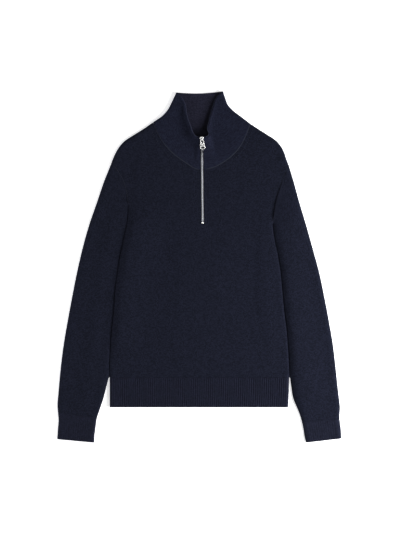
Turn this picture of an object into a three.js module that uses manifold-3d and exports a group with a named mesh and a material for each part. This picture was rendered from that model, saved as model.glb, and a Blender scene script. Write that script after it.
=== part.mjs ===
// A quarter-zip knitted sweater lying flat on its back, zip closed, sleeves beside the body.
// Millimetres. +X is to the right of someone looking down at the front, so it is the wearer's
// left. +Y points from the hem to the collar, +Z up from the surface that the sweater lies on.
import * as THREE from 'three';
import { mergeVertices } from 'three/addons/utils/BufferGeometryUtils.js';
import Module from 'manifold-3d';

const wasm = await Module();
wasm.setup();

// Driving sizes of the cloth
const KNIT = 2.5;              // one knitted layer
const COLLAR_WALL = 4.6;       // the collar is a folded double layer
const SEAM_GAP = 0.35;         // space left between two pieces at a seam
const ARMHOLE_GAP = 1.0;       // the same at the curved armhole seam
const SLEEVE_GAP = 1.0;        // space between the body's side and the sleeve beside it
const SIDE_SEAM_Z = 3.6;       // height of the side seams, halfway up the rolled edge
const LAID_TOP = 7.1;          // top of the front where it lies over the back
const BODY_ROLL = 6;           // how far in from the side the rolled edge levels out
const SLEEVE_ROLL = 8;
const UNDER_ROLL = 5;          // the same on the underside
const RIDGE_HEIGHT = 1.5;      // soft ridge just inside a rolled edge, where air stays in
const RIDGE_AT = 9;
const RIDGE_WIDTH = 9;
const RIB_PITCH = 5.18;        // one rib and its furrow in the bands
const RIB_HEIGHT = 0.9;
const BACK_WIDTH = 400;        // usual width of the back, to place its columns by distance
const SLEEVE_WIDTH = 100;
const CUFF_WIDTH = 86;
const SHOULDER_SHARE = 0.3;    // each shoulder's share of the columns along the back's top edge
const SHOULDER_EASE = 1.6;     // how late the back's rows take up the shape of its top edge

// Levels along the garment
const HEM_TOP = -264;
const HEM_BOTTOM = -334.8;
const SLIT_BOTTOM = 103.4;
const NECK_FRONT = 236;
const RIM_FRONT = 313;

// Zip
const SLIT_HALF = 3.8;
const CHAIN_HALF = 3.0;
const CHAIN_THICK = 2.2;
const CHAIN_BOTTOM = 109.2;
const CHAIN_TOP = 301.2;
const TAPE_THICK = 1.0;
const TAPE_WING = 13;          // half width of the tape where it lies under the front
const TAPE_DROP = 2.9;         // tape's face below the cloth's face, in the body
const TAPE_WING_STOP = 3;      // the wings end this far below the neck seam
const TAPE_RISE = 12;          // length in which the tape rises from the body into the collar
const TAPE_SINK = 0.8;         // tape's face below the middle of the collar's cloth
const TAPE_TAIL = 16;          // tape below the end of the slit
const STOP = { width: 6.2, length: 3.4, thick: 2.9 };

// Outlines seen from above, as x at each y. right and left are the wearer's.
const SIDE = {
  right: [
    { y: -336, x: -214.6 }, { y: -264, x: -214.8 }, { y: -240, x: -216.0 }, { y: -205, x: -214.4 },
    { y: -156, x: -211.2 }, { y: -98, x: -205.2 }, { y: -60, x: -203.2 }, { y: -8, x: -196.0 },
    { y: 36, x: -189.1 }, { y: 74, x: -180.6 }, { y: 113, x: -172.8 }, { y: 149, x: -170.8 },
  ],
  left: [
    { y: -336, x: 212.6 }, { y: -300, x: 214.4 }, { y: -264, x: 215.2 }, { y: -247, x: 216.0 },
    { y: -205, x: 214.0 }, { y: -151, x: 209.8 }, { y: -103, x: 204.0 }, { y: -55, x: 199.6 },
    { y: -7, x: 194.6 }, { y: 41, x: 186.6 }, { y: 75, x: 179.2 }, { y: 105, x: 176.4 },
  ],
};
const ARMHOLE = {
  right: [
    { y: 149, x: -170.8 }, { y: 175, x: -174.6 }, { y: 203, x: -181.4 }, { y: 221, x: -190.0 },
    { y: 239, x: -202.0 }, { y: 248.6, x: -211.4 },
  ],
  left: [
    { y: 105, x: 176.4 }, { y: 145, x: 181.8 }, { y: 185, x: 191.8 }, { y: 214, x: 202.0 },
    { y: 245, x: 214.2 },
  ],
};
const SHOULDER = {
  right: [
    { y: 248.6, x: -211.4 }, { y: 261.6, x: -206.6 }, { y: 276, x: -199.9 }, { y: 290.4, x: -191.0 },
    { y: 304.8, x: -177.4 }, { y: 319.2, x: -154.6 }, { y: 333.6, x: -131.6 }, { y: 348.3, x: -111.0 },
  ],
  left: [
    { y: 245, x: 214.2 }, { y: 261.6, x: 207.8 }, { y: 276, x: 203.0 }, { y: 290.4, x: 195.4 },
    { y: 304.8, x: 182.9 }, { y: 319.2, x: 161.3 }, { y: 333.6, x: 138.4 }, { y: 345, x: 121.6 },
  ],
};
const SLEEVE_OUTER = {
  right: [
    { y: 248.6, x: -211.4 }, { y: 204, x: -229.2 }, { y: 160, x: -244.1 }, { y: 103, x: -263.8 },
    { y: 45, x: -280.1 }, { y: -12, x: -293.3 }, { y: -70, x: -304.8 }, { y: -127, x: -315.4 },
    { y: -185, x: -325.2 }, { y: -242, x: -332.4 }, { y: -300, x: -337.7 }, { y: -330, x: -340.0 },
    { y: -347, x: -338.8 }, { y: -366, x: -337.4 }, { y: -386, x: -338.9 }, { y: -412, x: -340.6 },
  ],
  left: [
    { y: 245, x: 214.2 }, { y: 204, x: 226.6 }, { y: 160, x: 238.6 }, { y: 103, x: 255.6 },
    { y: 45, x: 271.9 }, { y: -12, x: 287.3 }, { y: -70, x: 299.5 }, { y: -127, x: 310.3 },
    { y: -185, x: 320.2 }, { y: -242, x: 326.9 }, { y: -300, x: 333.1 }, { y: -335, x: 337.0 },
    { y: -358, x: 335.8 }, { y: -372, x: 337.0 }, { y: -386, x: 338.9 }, { y: -412, x: 340.6 },
  ],
};
const SLEEVE_FREE = {
  right: [
    { y: -262, x: -217.0 }, { y: -286, x: -223.2 }, { y: -314, x: -230.4 }, { y: -343, x: -240.0 },
    { y: -362, x: -246.2 }, { y: -386, x: -249.6 }, { y: -405, x: -252.0 }, { y: -420, x: -252.4 },
  ],
  left: [
    { y: -262, x: 217.6 }, { y: -286, x: 220.8 }, { y: -314, x: 225.6 }, { y: -343, x: 237.6 },
    { y: -362, x: 244.2 }, { y: -386, x: 249.6 }, { y: -405, x: 252.6 }, { y: -420, x: 256.4 },
  ],
};
// Front neck seam from the zip to the shoulder
const NECK = {
  right: [
    { y: 236, x: 3.6 }, { y: 236.8, x: -8.0 }, { y: 246, x: -24.0 }, { y: 257.5, x: -40.6 },
    { y: 273.5, x: -62.6 }, { y: 298.6, x: -85.0 }, { y: 321, x: -98.4 }, { y: 348.3, x: -111.0 },
  ],
  left: [
    { y: 236, x: 11.4 }, { y: 236.6, x: 17.0 }, { y: 240, x: 31.0 }, { y: 245.5, x: 44.2 },
    { y: 263, x: 71.0 }, { y: 285.4, x: 93.4 }, { y: 317, x: 111.0 }, { y: 345, x: 121.6 },
  ],
};
// Folded side of the collar from the shoulder up to its tip
const COLLAR_FOLD = {
  right: [
    { y: 348.3, x: -111.0 }, { y: 362.4, x: -90.0 }, { y: 376.8, x: -76.6 }, { y: 391.2, x: -68.6 },
    { y: 405.6, x: -61.8 }, { y: 418.6, x: -55.0 },
  ],
  left: [
    { y: 345, x: 121.6 }, { y: 362.4, x: 98.6 }, { y: 376.8, x: 79.9 }, { y: 391.2, x: 67.4 },
    { y: 405.6, x: 61.9 }, { y: 420.4, x: 56.4 },
  ],
};
// Top edge of the front collar from the zip to the tip, with the height of the cloth's middle
const COLLAR_RIM = {
  right: [
    { y: 313, x: 2.4, z: 24 }, { y: 314, x: -7.0, z: 24 }, { y: 323, x: -15.0, z: 23.5 },
    { y: 338.6, x: -20.6, z: 22 }, { y: 354, x: -27.2, z: 20 }, { y: 371, x: -31.4, z: 17.5 },
    { y: 388, x: -34.4, z: 15 }, { y: 403.4, x: -42.0, z: 12 }, { y: 418.6, x: -55.0, z: 9 },
  ],
  left: [
    { y: 313, x: 10.2, z: 24 }, { y: 313.6, x: 19.0, z: 24.5 }, { y: 320, x: 23.4, z: 24.5 },
    { y: 332, x: 19.4, z: 24 }, { y: 350, x: 23.0, z: 22 }, { y: 369.8, x: 28.6, z: 19 },
    { y: 387.8, x: 34.3, z: 16 }, { y: 405.6, x: 42.6, z: 12 }, { y: 420.4, x: 56.4, z: 9 },
  ],
};
const BACK_NECK_DIP = 11;      // the collar's back seam sags this far below the shoulder points
const BACK_NECK_DROP = 2.6;    // the back's neck edge is lower at the shoulders, under the roll
const BACK_NECK_SAG = 9.2;
const FOLD_START = 1.5;        // the collar's folded side starts this far above the shoulder seam
const COLLAR_TOP_DIP = 3.6;    // and the collar's back top edge this far below its tips
const COLLAR_SEAM_Z = 6.0;     // middle of the collar's cloth at the front neck seam
const COLLAR_FOLD_Z = 7.6;     // the same where the front lies on the folded back
const COLLAR_ROLL = 4;
const FRONT_COLLAR_SHARE = 0.94;  // share of the front collar's length that its rows of points take
const RIM_INSET = 2;           // from the drawn rim to the end of the full wall
const RIM_ROUND = 1.4;

// Rows of the front, from the hem to the shoulder: y on the centre line and neck seam, and y on
// each side, armhole included. The last four rows follow the roll of the shoulder.
const FRONT_ROWS = [
  { inner: -264, right: -264, left: -264 }, { inner: -215, right: -215, left: -215 },
  { inner: -150, right: -150, left: -150 }, { inner: -90, right: -90, left: -90 },
  { inner: -30, right: -30, left: -30 }, { inner: 25, right: 25, left: 20 },
  { inner: 65, right: 80, left: 60 }, { inner: 103.4, right: 120, left: 88 },
  { inner: 140, right: 149, left: 105 }, { inner: 175, right: 165, left: 132 },
  { inner: 208, right: 182, left: 160 }, { inner: 236, right: 198, left: 185 },
  { inner: 245, right: 209, left: 200 }, { inner: 258, right: 219, left: 213 },
  { inner: 280, right: 229, left: 225 }, { inner: 303, right: 238, left: 235 },
  { inner: 322, right: 243, left: 240 }, { inner: 334, right: 246, left: 243 },
  { inner: 341, right: 247.4, left: 244.1 }, { inner: 344, right: 248.2, left: 244.7 },
  { inner: 'shoulder', right: 248.6, left: 245 },
];
// Rows of a sleeve, from the armhole to the cuff: y on its outer and inner edge, and how much of
// the armhole's curve the row keeps
const SLEEVE_ROWS = {
  right: [
    { outer: 248.6, inner: 149, curve: 1 }, { outer: 216, inner: 139, curve: 0.7 },
    { outer: 178, inner: 124, curve: 0.4 }, { outer: 128, inner: 98, curve: 0.15 },
    { outer: 80, inner: 66, curve: 0 }, { outer: 17, inner: 15, curve: 0 },
    { outer: -55, inner: -56, curve: 0 }, { outer: -127, inner: -127, curve: 0 },
    { outer: -185, inner: -185, curve: 0 }, { outer: -232, inner: -232, curve: 0 },
    { outer: -262, inner: -262, curve: 0 }, { outer: -290, inner: -292, curve: 0 },
    { outer: -322, inner: -330, curve: 0 }, { outer: -347.4, inner: -360.6, curve: 0 },
  ],
  left: [
    { outer: 245, inner: 105, curve: 1 }, { outer: 212, inner: 96, curve: 0.7 },
    { outer: 175, inner: 84, curve: 0.4 }, { outer: 128, inner: 68, curve: 0.15 },
    { outer: 84, inner: 47, curve: 0 }, { outer: 20, inner: 2, curve: 0 },
    { outer: -55, inner: -62, curve: 0 }, { outer: -127, inner: -129, curve: 0 },
    { outer: -185, inner: -186, curve: 0 }, { outer: -232, inner: -232, curve: 0 },
    { outer: -262, inner: -262, curve: 0 }, { outer: -292, inner: -294, curve: 0 },
    { outer: -330, inner: -334, curve: 0 }, { outer: -363.4, inner: -370.2, curve: 0 },
  ],
};
const CUFF_ROWS = {
  right: [
    { outer: -347.8, inner: -361.0 }, { outer: -380, inner: -391 }, { outer: -411.4, inner: -419.6 },
  ],
  left: [
    { outer: -363.8, inner: -370.6 }, { outer: -387, inner: -395 }, { outer: -409.8, inner: -419.6 },
  ],
};

// Largest folds of the upper layer: a ridge (height above 0) or trough from one end to the other
const FOLDS = [
  { on: 'body', x0: 66, y0: 40, x1: 76, y1: -120, wide: 22, height: 1.0 },
  { on: 'body', x0: 116, y0: 20, x1: 128, y1: -60, wide: 12, height: -0.9 },
  { on: 'body', x0: -20, y0: 10, x1: -16, y1: -120, wide: 18, height: -0.8 },
  { on: 'body', x0: -150, y0: 60, x1: -152, y1: -140, wide: 22, height: 0.9 },
  { on: 'body', x0: 168, y0: 215, x1: 158, y1: 100, wide: 11, height: 1.3 },
  { on: 'all', x0: 196, y0: 190, x1: 186, y1: 40, wide: 12, height: -1.1 },
  { on: 'sleeve', x0: 232, y0: 215, x1: 224, y1: 60, wide: 15, height: 1.5 },
  { on: 'sleeve', x0: 226, y0: -20, x1: 232, y1: -240, wide: 20, height: -1.0 },
  { on: 'sleeve', x0: 262, y0: 0, x1: 284, y1: -230, wide: 16, height: 0.9 },
  { on: 'sleeve', x0: -226, y0: 200, x1: -240, y1: 40, wide: 14, height: -1.2 },
  { on: 'sleeve', x0: -242, y0: 20, x1: -276, y1: -230, wide: 16, height: -1.3 },
  { on: 'sleeve', x0: -204, y0: 130, x1: -214, y1: -20, wide: 11, height: 1.0 },
];

const mirrorSign = { right: -1, left: 1 };
const clamp01 = (value) => Math.min(Math.max(value, 0), 1);
const mix = (a, b, t) => a + (b - a) * t;
const steps = (count) => Array.from({ length: count + 1 }, (_, i) => i / count);

// x (and z, where the table has it) at y on a table, by cubic pieces with averaged slopes
function at(table, y, column = 'x') {
  const rising = table[table.length - 1].y > table[0].y;
  const rows = rising ? table : [...table].reverse();
  const last = rows.length - 2;
  let i = rows.findIndex((row, k) => k <= last && y <= rows[k + 1].y);
  if (i < 0) i = last;
  const slope = (k) => {
    const a = rows[Math.max(k - 1, 0)];
    const b = rows[Math.min(k + 1, last + 1)];
    return (b[column] - a[column]) / (b.y - a.y);
  };
  const span = rows[i + 1].y - rows[i].y;
  const t = clamp01((y - rows[i].y) / span);
  const rest = 1 - t;
  return rest * rest * (1 + 2 * t) * rows[i][column] + t * t * (3 - 2 * t) * rows[i + 1][column]
    + t * rest * rest * span * slope(i) - t * t * rest * span * slope(i + 1);
}

const zipX = (y) => mix(8.2, 6.0, clamp01((y - SLIT_BOTTOM) / (RIM_FRONT - SLIT_BOTTOM)));

// A rolled outline as a chain of points with normals that point out of the cloth
function outline(table, from, to, count, side) {
  const points = steps(count).map((t) => {
    const y = mix(from, to, t);
    return { x: at(table, y), y };
  });
  return points.map((p, i) => {
    const a = points[Math.max(i - 1, 0)];
    const b = points[Math.min(i + 1, count)];
    const length = Math.hypot(b.x - a.x, b.y - a.y) * Math.sign(to - from) * mirrorSign[side];
    return { ...p, nx: (b.y - a.y) / length, ny: (a.x - b.x) / length };
  });
}

// Nearest point of some outlines: its distance, and the way out of the cloth there
function nearest(outlines, p) {
  let best = { distance: Infinity };
  for (const chain of outlines) {
    for (let i = 0; i + 1 < chain.length; i += 1) {
      const a = chain[i];
      const b = chain[i + 1];
      const along = clamp01(((p.x - a.x) * (b.x - a.x) + (p.y - a.y) * (b.y - a.y))
        / ((b.x - a.x) ** 2 + (b.y - a.y) ** 2));
      const distance = Math.hypot(p.x - mix(a.x, b.x, along), p.y - mix(a.y, b.y, along));
      if (distance < best.distance) {
        best = { distance, nx: mix(a.nx, b.nx, along), ny: mix(a.ny, b.ny, along) };
      }
    }
  }
  return best;
}

// Share of the full height at a distance in from a rolled edge: a quarter of an ellipse
const rolled = (distance, roll) => Math.sqrt(1 - (1 - clamp01(distance / roll)) ** 2);

// Height that the folds add on one part of the garment
function foldHeight(p, part) {
  let height = 0;
  for (const fold of FOLDS) {
    if (fold.on !== 'all' && fold.on !== part) continue;
    const dx = fold.x1 - fold.x0;
    const dy = fold.y1 - fold.y0;
    const length = Math.hypot(dx, dy);
    const along = ((p.x - fold.x0) * dx + (p.y - fold.y0) * dy) / length ** 2;
    const across = ((p.x - fold.x0) * dy - (p.y - fold.y0) * dx) / length;
    const ends = Math.exp(-((Math.max(Math.abs(along - 0.5) - 0.3, 0) / 0.25) ** 2));
    height += fold.height * ends * Math.exp(-((across / fold.wide) ** 2));
  }
  return height;
}

// One point of the upper layer: its face, and the same point on the inner face of the cloth
function upperPoint(p, outlines, part, roll, raise = 0) {
  const edge = nearest(outlines, p);
  const share = rolled(edge.distance, roll);
  const ridge = RIDGE_HEIGHT * Math.exp(-(((edge.distance - RIDGE_AT) / RIDGE_WIDTH) ** 2));
  const top = LAID_TOP - SIDE_SEAM_Z + ridge + foldHeight(p, part);
  const z = SIDE_SEAM_Z + SEAM_GAP / 2 + top * share;
  const out = 1 - clamp01(edge.distance / roll);
  return {
    face: { x: p.x, y: p.y, z: z + raise * share },
    inner: { x: p.x - KNIT * out * edge.nx, y: p.y - KNIT * out * edge.ny, z: z - KNIT * share },
  };
}

// One point of the lower layer, flat on the surface except at its rolled edge
function lowerPoint(p, outlines) {
  const edge = nearest(outlines, p);
  const share = rolled(edge.distance, UNDER_ROLL);
  const z = (SIDE_SEAM_Z - SEAM_GAP / 2) * (1 - share);
  const out = 1 - clamp01(edge.distance / UNDER_ROLL);
  return {
    face: { x: p.x, y: p.y, z },
    inner: { x: p.x - KNIT * out * edge.nx, y: p.y - KNIT * out * edge.ny, z: z + KNIT * share },
  };
}

// A closed wall between two grids of points. open(row, column) leaves a cell out, and a closed
// grid joins its last column to its first. Every free edge gets a side.
function wall(face, inner, { closed = false, open = () => false } = {}) {
  const rows = face.length;
  const columns = face[0].length;
  const position = [...face.flat(), ...inner.flat()].flatMap((p) => [p.x, p.y, p.z]);
  const index = [];
  const f = (row, column) => row * columns + (column % columns);
  const n = (row, column) => rows * columns + f(row, column);
  const quad = (a, b, c, d) => index.push(a, b, c, a, c, d);
  const lastColumn = closed ? columns : columns - 1;
  const filled = (row, column) => {
    if (row < 0 || row >= rows - 1) return false;
    if (!closed && (column < 0 || column >= lastColumn)) return false;
    return !open(row, column);
  };
  for (let r = 0; r < rows - 1; r += 1) {
    for (let c = 0; c < lastColumn; c += 1) {
      if (!filled(r, c)) continue;
      quad(f(r, c), f(r, c + 1), f(r + 1, c + 1), f(r + 1, c));
      quad(n(r, c), n(r + 1, c), n(r + 1, c + 1), n(r, c + 1));
      if (!filled(r - 1, c)) quad(f(r, c + 1), f(r, c), n(r, c), n(r, c + 1));
      if (!filled(r + 1, c)) quad(f(r + 1, c), f(r + 1, c + 1), n(r + 1, c + 1), n(r + 1, c));
      if (!closed && !filled(r, c + 1)) {
        quad(f(r + 1, c + 1), f(r, c + 1), n(r, c + 1), n(r + 1, c + 1));
      }
      if (!closed && !filled(r, c - 1)) quad(f(r, c), f(r + 1, c), n(r + 1, c), n(r, c));
    }
  }
  return solid(position, index);
}

// Indexed geometry with its faces turned outward
function solid(position, index) {
  const corner = (k) => new THREE.Vector3().fromArray(position, 3 * index[k]);
  let volume = 0;
  for (let k = 0; k < index.length; k += 3) {
    volume += corner(k).dot(corner(k + 1).cross(corner(k + 2)));
  }
  if (volume < 0) index.reverse();
  const geometry = new THREE.BufferGeometry();
  geometry.setAttribute('position', new THREE.Float32BufferAttribute(position, 3));
  geometry.setIndex(index);
  return geometry;
}

const wallOf = (grid, options) => wall(
  grid.map((row) => row.map((p) => p.face)),
  grid.map((row) => row.map((p) => p.inner)),
  options,
);

// Distances in from a rolled edge where the cloth needs points
const rollSteps = (roll) => [0, 0.1 * roll, 0.36 * roll, roll, 2.6 * roll];

const UNDERARM = { right: SIDE.right.at(-1), left: SIDE.left.at(-1) };
const TIP = { right: ARMHOLE.right.at(-1), left: ARMHOLE.left.at(-1) };
const NECK_POINT = { right: NECK.right.at(-1), left: NECK.left.at(-1) };
const bodyOutlines = {};
for (const side of ['right', 'left']) {
  bodyOutlines[side] = [
    outline(SIDE[side], HEM_BOTTOM, UNDERARM[side].y, 40, side),
    outline(SHOULDER[side], TIP[side].y, NECK_POINT[side].y, 24, side),
  ];
}
const bothSides = [...bodyOutlines.right, ...bodyOutlines.left];

const sideX = (side, y) => (y <= UNDERARM[side].y
  ? at(SIDE[side], y)
  : at(ARMHOLE[side], y) - (mirrorSign[side] * ARMHOLE_GAP) / 2);
const armShare = (side, y) => clamp01((y - UNDERARM[side].y) / (TIP[side].y - UNDERARM[side].y));

// How far the shoulder bulges from the straight line between its ends, at a share along it
function shoulderBulge(side, share) {
  const y = mix(TIP[side].y, NECK_POINT[side].y, share);
  return at(SHOULDER[side], y) - mix(TIP[side].x, NECK_POINT[side].x, share);
}

// Points of one row of half the front, from its side to the zip or the neck seam
function frontHalfRow(row, side) {
  const sign = mirrorSign[side];
  const innerY = row.inner === 'shoulder' ? NECK_POINT[side].y : row.inner;
  const start = { x: sideX(side, row[side]), y: row[side] };
  const end = { x: zipX(innerY) + sign * SLIT_HALF, y: innerY };
  if (innerY >= NECK_FRONT) {
    end.x = at(NECK[side], innerY) + sign * SEAM_GAP;
    end.y = innerY - 2 * SEAM_GAP;
  }
  const length = Math.hypot(end.x - start.x, end.y - start.y);
  const near = rollSteps(BODY_ROLL).map((d) => d / length);
  const far = steps(5).slice(1).map((t) => mix(near.at(-1), 1, t));
  return [...near, ...far].map((t) => ({
    x: mix(start.x, end.x, t) + armShare(side, row[side]) * shoulderBulge(side, t),
    y: mix(start.y, end.y, t),
  }));
}

function frontGeometry() {
  const grid = FRONT_ROWS.map((row) => {
    const right = frontHalfRow(row, 'right');
    const left = frontHalfRow(row, 'left').reverse();
    return [...right, ...left].map((p) => upperPoint(p, bothSides, 'body', BODY_ROLL));
  });
  const slitColumn = grid[0].length / 2 - 1;
  const slitRow = FRONT_ROWS.findIndex((row) => row.inner === SLIT_BOTTOM);
  return wallOf(grid, { open: (r, c) => c === slitColumn && r >= slitRow });
}

// The back has the front's outline, but its neck runs nearly straight between the shoulders
const backNeckY = (share) => mix(NECK_POINT.right.y, NECK_POINT.left.y, share)
  - BACK_NECK_DROP - BACK_NECK_SAG * Math.sin(Math.PI * share);

function backGeometry() {
  const neckStart = SHOULDER_SHARE;
  const neckEnd = 1 - SHOULDER_SHARE;
  const edge = rollSteps(UNDER_ROLL).map((d) => d / BACK_WIDTH);
  const columns = [
    ...edge, 0.12, 0.2, neckStart, 0.4, 0.5, 0.6, neckEnd, 0.8, 0.88,
    ...edge.map((t) => 1 - t).reverse(),
  ];
  // Every second row of the front, and all of them where the edge bends: the underarm, the tips
  const rows = FRONT_ROWS.filter((row, i) => i % 2 === 0 || i > 15 || i === 7);
  const topX = (t) => {
    if (t < neckStart) {
      const share = t / neckStart;
      return mix(TIP.right.x, NECK_POINT.right.x, share) + shoulderBulge('right', share);
    }
    if (t > neckEnd) {
      const share = (1 - t) / (1 - neckEnd);
      return mix(TIP.left.x, NECK_POINT.left.x, share) + shoulderBulge('left', share);
    }
    return mix(NECK_POINT.right.x, NECK_POINT.left.x, (t - neckStart) / (neckEnd - neckStart));
  };
  const topY = (t) => {
    if (t < neckStart) return mix(TIP.right.y, NECK_POINT.right.y, t / neckStart);
    if (t > neckEnd) return mix(TIP.left.y, NECK_POINT.left.y, (1 - t) / (1 - neckEnd));
    return backNeckY((t - neckStart) / (neckEnd - neckStart));
  };
  const grid = rows.map((row) => columns.map((t) => {
    const a = { x: sideX('right', row.right), y: row.right };
    const b = { x: sideX('left', row.left), y: row.left };
    const upTo = mix(armShare('right', row.right), armShare('left', row.left), t) ** SHOULDER_EASE;
    const level = { x: mix(a.x, b.x, t), y: mix(a.y, b.y, t) };
    const chord = { x: mix(TIP.right.x, TIP.left.x, t), y: mix(TIP.right.y, TIP.left.y, t) };
    const p = {
      x: level.x + upTo * (topX(t) - chord.x),
      y: level.y + upTo * (topY(t) - chord.y),
    };
    return lowerPoint(p, bothSides);
  }));
  return wallOf(grid);
}

// Edges of a sleeve. Beside the body its inner edge keeps a gap to the body's side.
function sleeveEdge(side, which, y) {
  if (which === 'outer') return at(SLEEVE_OUTER[side], y);
  const beside = at(SIDE[side], y) + mirrorSign[side] * SLEEVE_GAP;
  if (y >= HEM_TOP + 2) return beside;
  return at(SLEEVE_FREE[side], y);
}
function sleeveEdgeOutline(side, which, from, to, count) {
  const points = steps(count).map((t) => {
    const y = mix(from, to, t);
    return { y, x: sleeveEdge(side, which, y) };
  });
  const facing = which === 'outer' ? side : { right: 'left', left: 'right' }[side];
  return outline(points, from, to, count, facing);
}

// Points across one row of a sleeve or cuff, as shares from its outer to its inner edge
function acrossShares(length, middle) {
  const near = rollSteps(SLEEVE_ROLL).map((d) => d / length);
  const far = near.map((t) => 1 - t).reverse();
  const between = steps(middle).slice(1, -1).map((t) => mix(near.at(-1), far[0], t));
  return [...near, ...between, ...far];
}

// A flattened tube: the upper layer from the outer to the inner edge, then the lower layer back
function tubeRing(side, row, outlines, upperShares, lowerShares, ribHeight) {
  const sign = mirrorSign[side];
  const a = { x: sleeveEdge(side, 'outer', row.outer), y: row.outer };
  const b = { x: sleeveEdge(side, 'inner', row.inner), y: row.inner };
  const curve = row.curve ?? 0;
  const place = (t) => {
    const seamY = mix(TIP[side].y, UNDERARM[side].y, t);
    const bow = at(ARMHOLE[side], seamY) - mix(TIP[side].x, UNDERARM[side].x, t);
    return {
      x: mix(a.x, b.x, t) + curve * bow + (curve === 1 ? (sign * ARMHOLE_GAP) / 2 : 0),
      y: mix(a.y, b.y, t),
    };
  };
  const upper = upperShares.map((t, i) => {
    const onRib = i % 2 === 1 ? ribHeight : 0;
    return upperPoint(place(t), outlines, 'sleeve', SLEEVE_ROLL, onRib);
  });
  const lower = lowerShares.map((t) => lowerPoint(place(t), outlines));
  return [...upper, ...lower];
}

function sleeveOutlines(side) {
  const rows = SLEEVE_ROWS[side];
  const cuff = CUFF_ROWS[side].at(-1);
  return [
    sleeveEdgeOutline(side, 'outer', cuff.outer, rows[0].outer, 60),
    sleeveEdgeOutline(side, 'inner', cuff.inner, rows[0].inner, 60),
  ];
}

function sleeveGeometry(side) {
  const upper = acrossShares(SLEEVE_WIDTH, 4);
  const lower = acrossShares(SLEEVE_WIDTH, 2).slice(1, -1).reverse();
  const outlines = sleeveOutlines(side);
  const grid = SLEEVE_ROWS[side].map((row) => tubeRing(side, row, outlines, upper, lower, 0));
  return wallOf(grid, { closed: true });
}

function cuffGeometry(side) {
  const ribs = Math.round((CUFF_WIDTH - 2 * SLEEVE_ROLL) / RIB_PITCH);
  const near = rollSteps(SLEEVE_ROLL).slice(0, 4).map((d) => d / CUFF_WIDTH);
  const far = near.map((t) => 1 - t).reverse();
  const between = steps(2 * ribs).slice(1, -1).map((t) => mix(near.at(-1), far[0], t));
  const upper = [...near, ...between, ...far];
  const lower = acrossShares(CUFF_WIDTH, 2).slice(1, -1).reverse();
  const outlines = sleeveOutlines(side);
  const grid = CUFF_ROWS[side].map(
    (row) => tubeRing(side, row, outlines, upper, lower, RIB_HEIGHT),
  );
  return wallOf(grid, { closed: true });
}

// Hem band, front: ribs raised in the face over a plain inside
function hemFrontGeometry() {
  const ys = [HEM_TOP - SEAM_GAP, mix(HEM_TOP, HEM_BOTTOM, 0.5), HEM_BOTTOM];
  const outlines = [bodyOutlines.right[0], bodyOutlines.left[0]];
  const width = at(SIDE.left, HEM_TOP) - at(SIDE.right, HEM_TOP);
  const ribs = Math.round((width - 2 * BODY_ROLL) / RIB_PITCH);
  const grid = ys.map((y) => {
    const a = at(SIDE.right, y);
    const b = at(SIDE.left, y);
    const roll = rollSteps(BODY_ROLL).slice(0, 4);
    const between = steps(2 * ribs).slice(1, -1).map((t) => mix(a + BODY_ROLL, b - BODY_ROLL, t));
    const xs = [...roll.map((d) => a + d), ...between, ...roll.map((d) => b - d).reverse()];
    return xs.map((x, i) => {
      const raise = i % 2 === 1 ? RIB_HEIGHT : 0;
      return upperPoint({ x, y }, outlines, 'band', BODY_ROLL, raise);
    });
  });
  return wallOf(grid);
}

function hemBackGeometry() {
  const ys = [HEM_TOP - SEAM_GAP, HEM_BOTTOM];
  const outlines = [bodyOutlines.right[0], bodyOutlines.left[0]];
  const grid = ys.map((y) => {
    const a = at(SIDE.right, y);
    const b = at(SIDE.left, y);
    const roll = rollSteps(UNDER_ROLL);
    const between = steps(6).slice(1, -1).map((t) => mix(a, b, t));
    const xs = [...roll.map((d) => a + d), ...between, ...roll.map((d) => b - d).reverse()];
    return xs.map((x) => lowerPoint({ x, y }, outlines));
  });
  return wallOf(grid);
}

// Rise of the front collar from its seam to its rim: gentle at first, steep at the rim
const collarRise = (v) => 0.45 * v ** 1.4 + 0.55 * v ** 4;

const curveOf = (table) => new THREE.CatmullRomCurve3(
  table.map((row) => new THREE.Vector3(row.x, row.y, row.z ?? 0)),
  false,
  'centripetal',
);

// The folded side, moved in so that the face of the wall and not its middle is on the outline
function insetFold(side) {
  const table = COLLAR_FOLD[side];
  const chain = outline(table, table[0].y + FOLD_START, table.at(-1).y, 10, side);
  return chain.map((p) => ({
    x: p.x - (COLLAR_WALL / 2) * p.nx,
    y: p.y - (COLLAR_WALL / 2) * p.ny,
  }));
}

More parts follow.
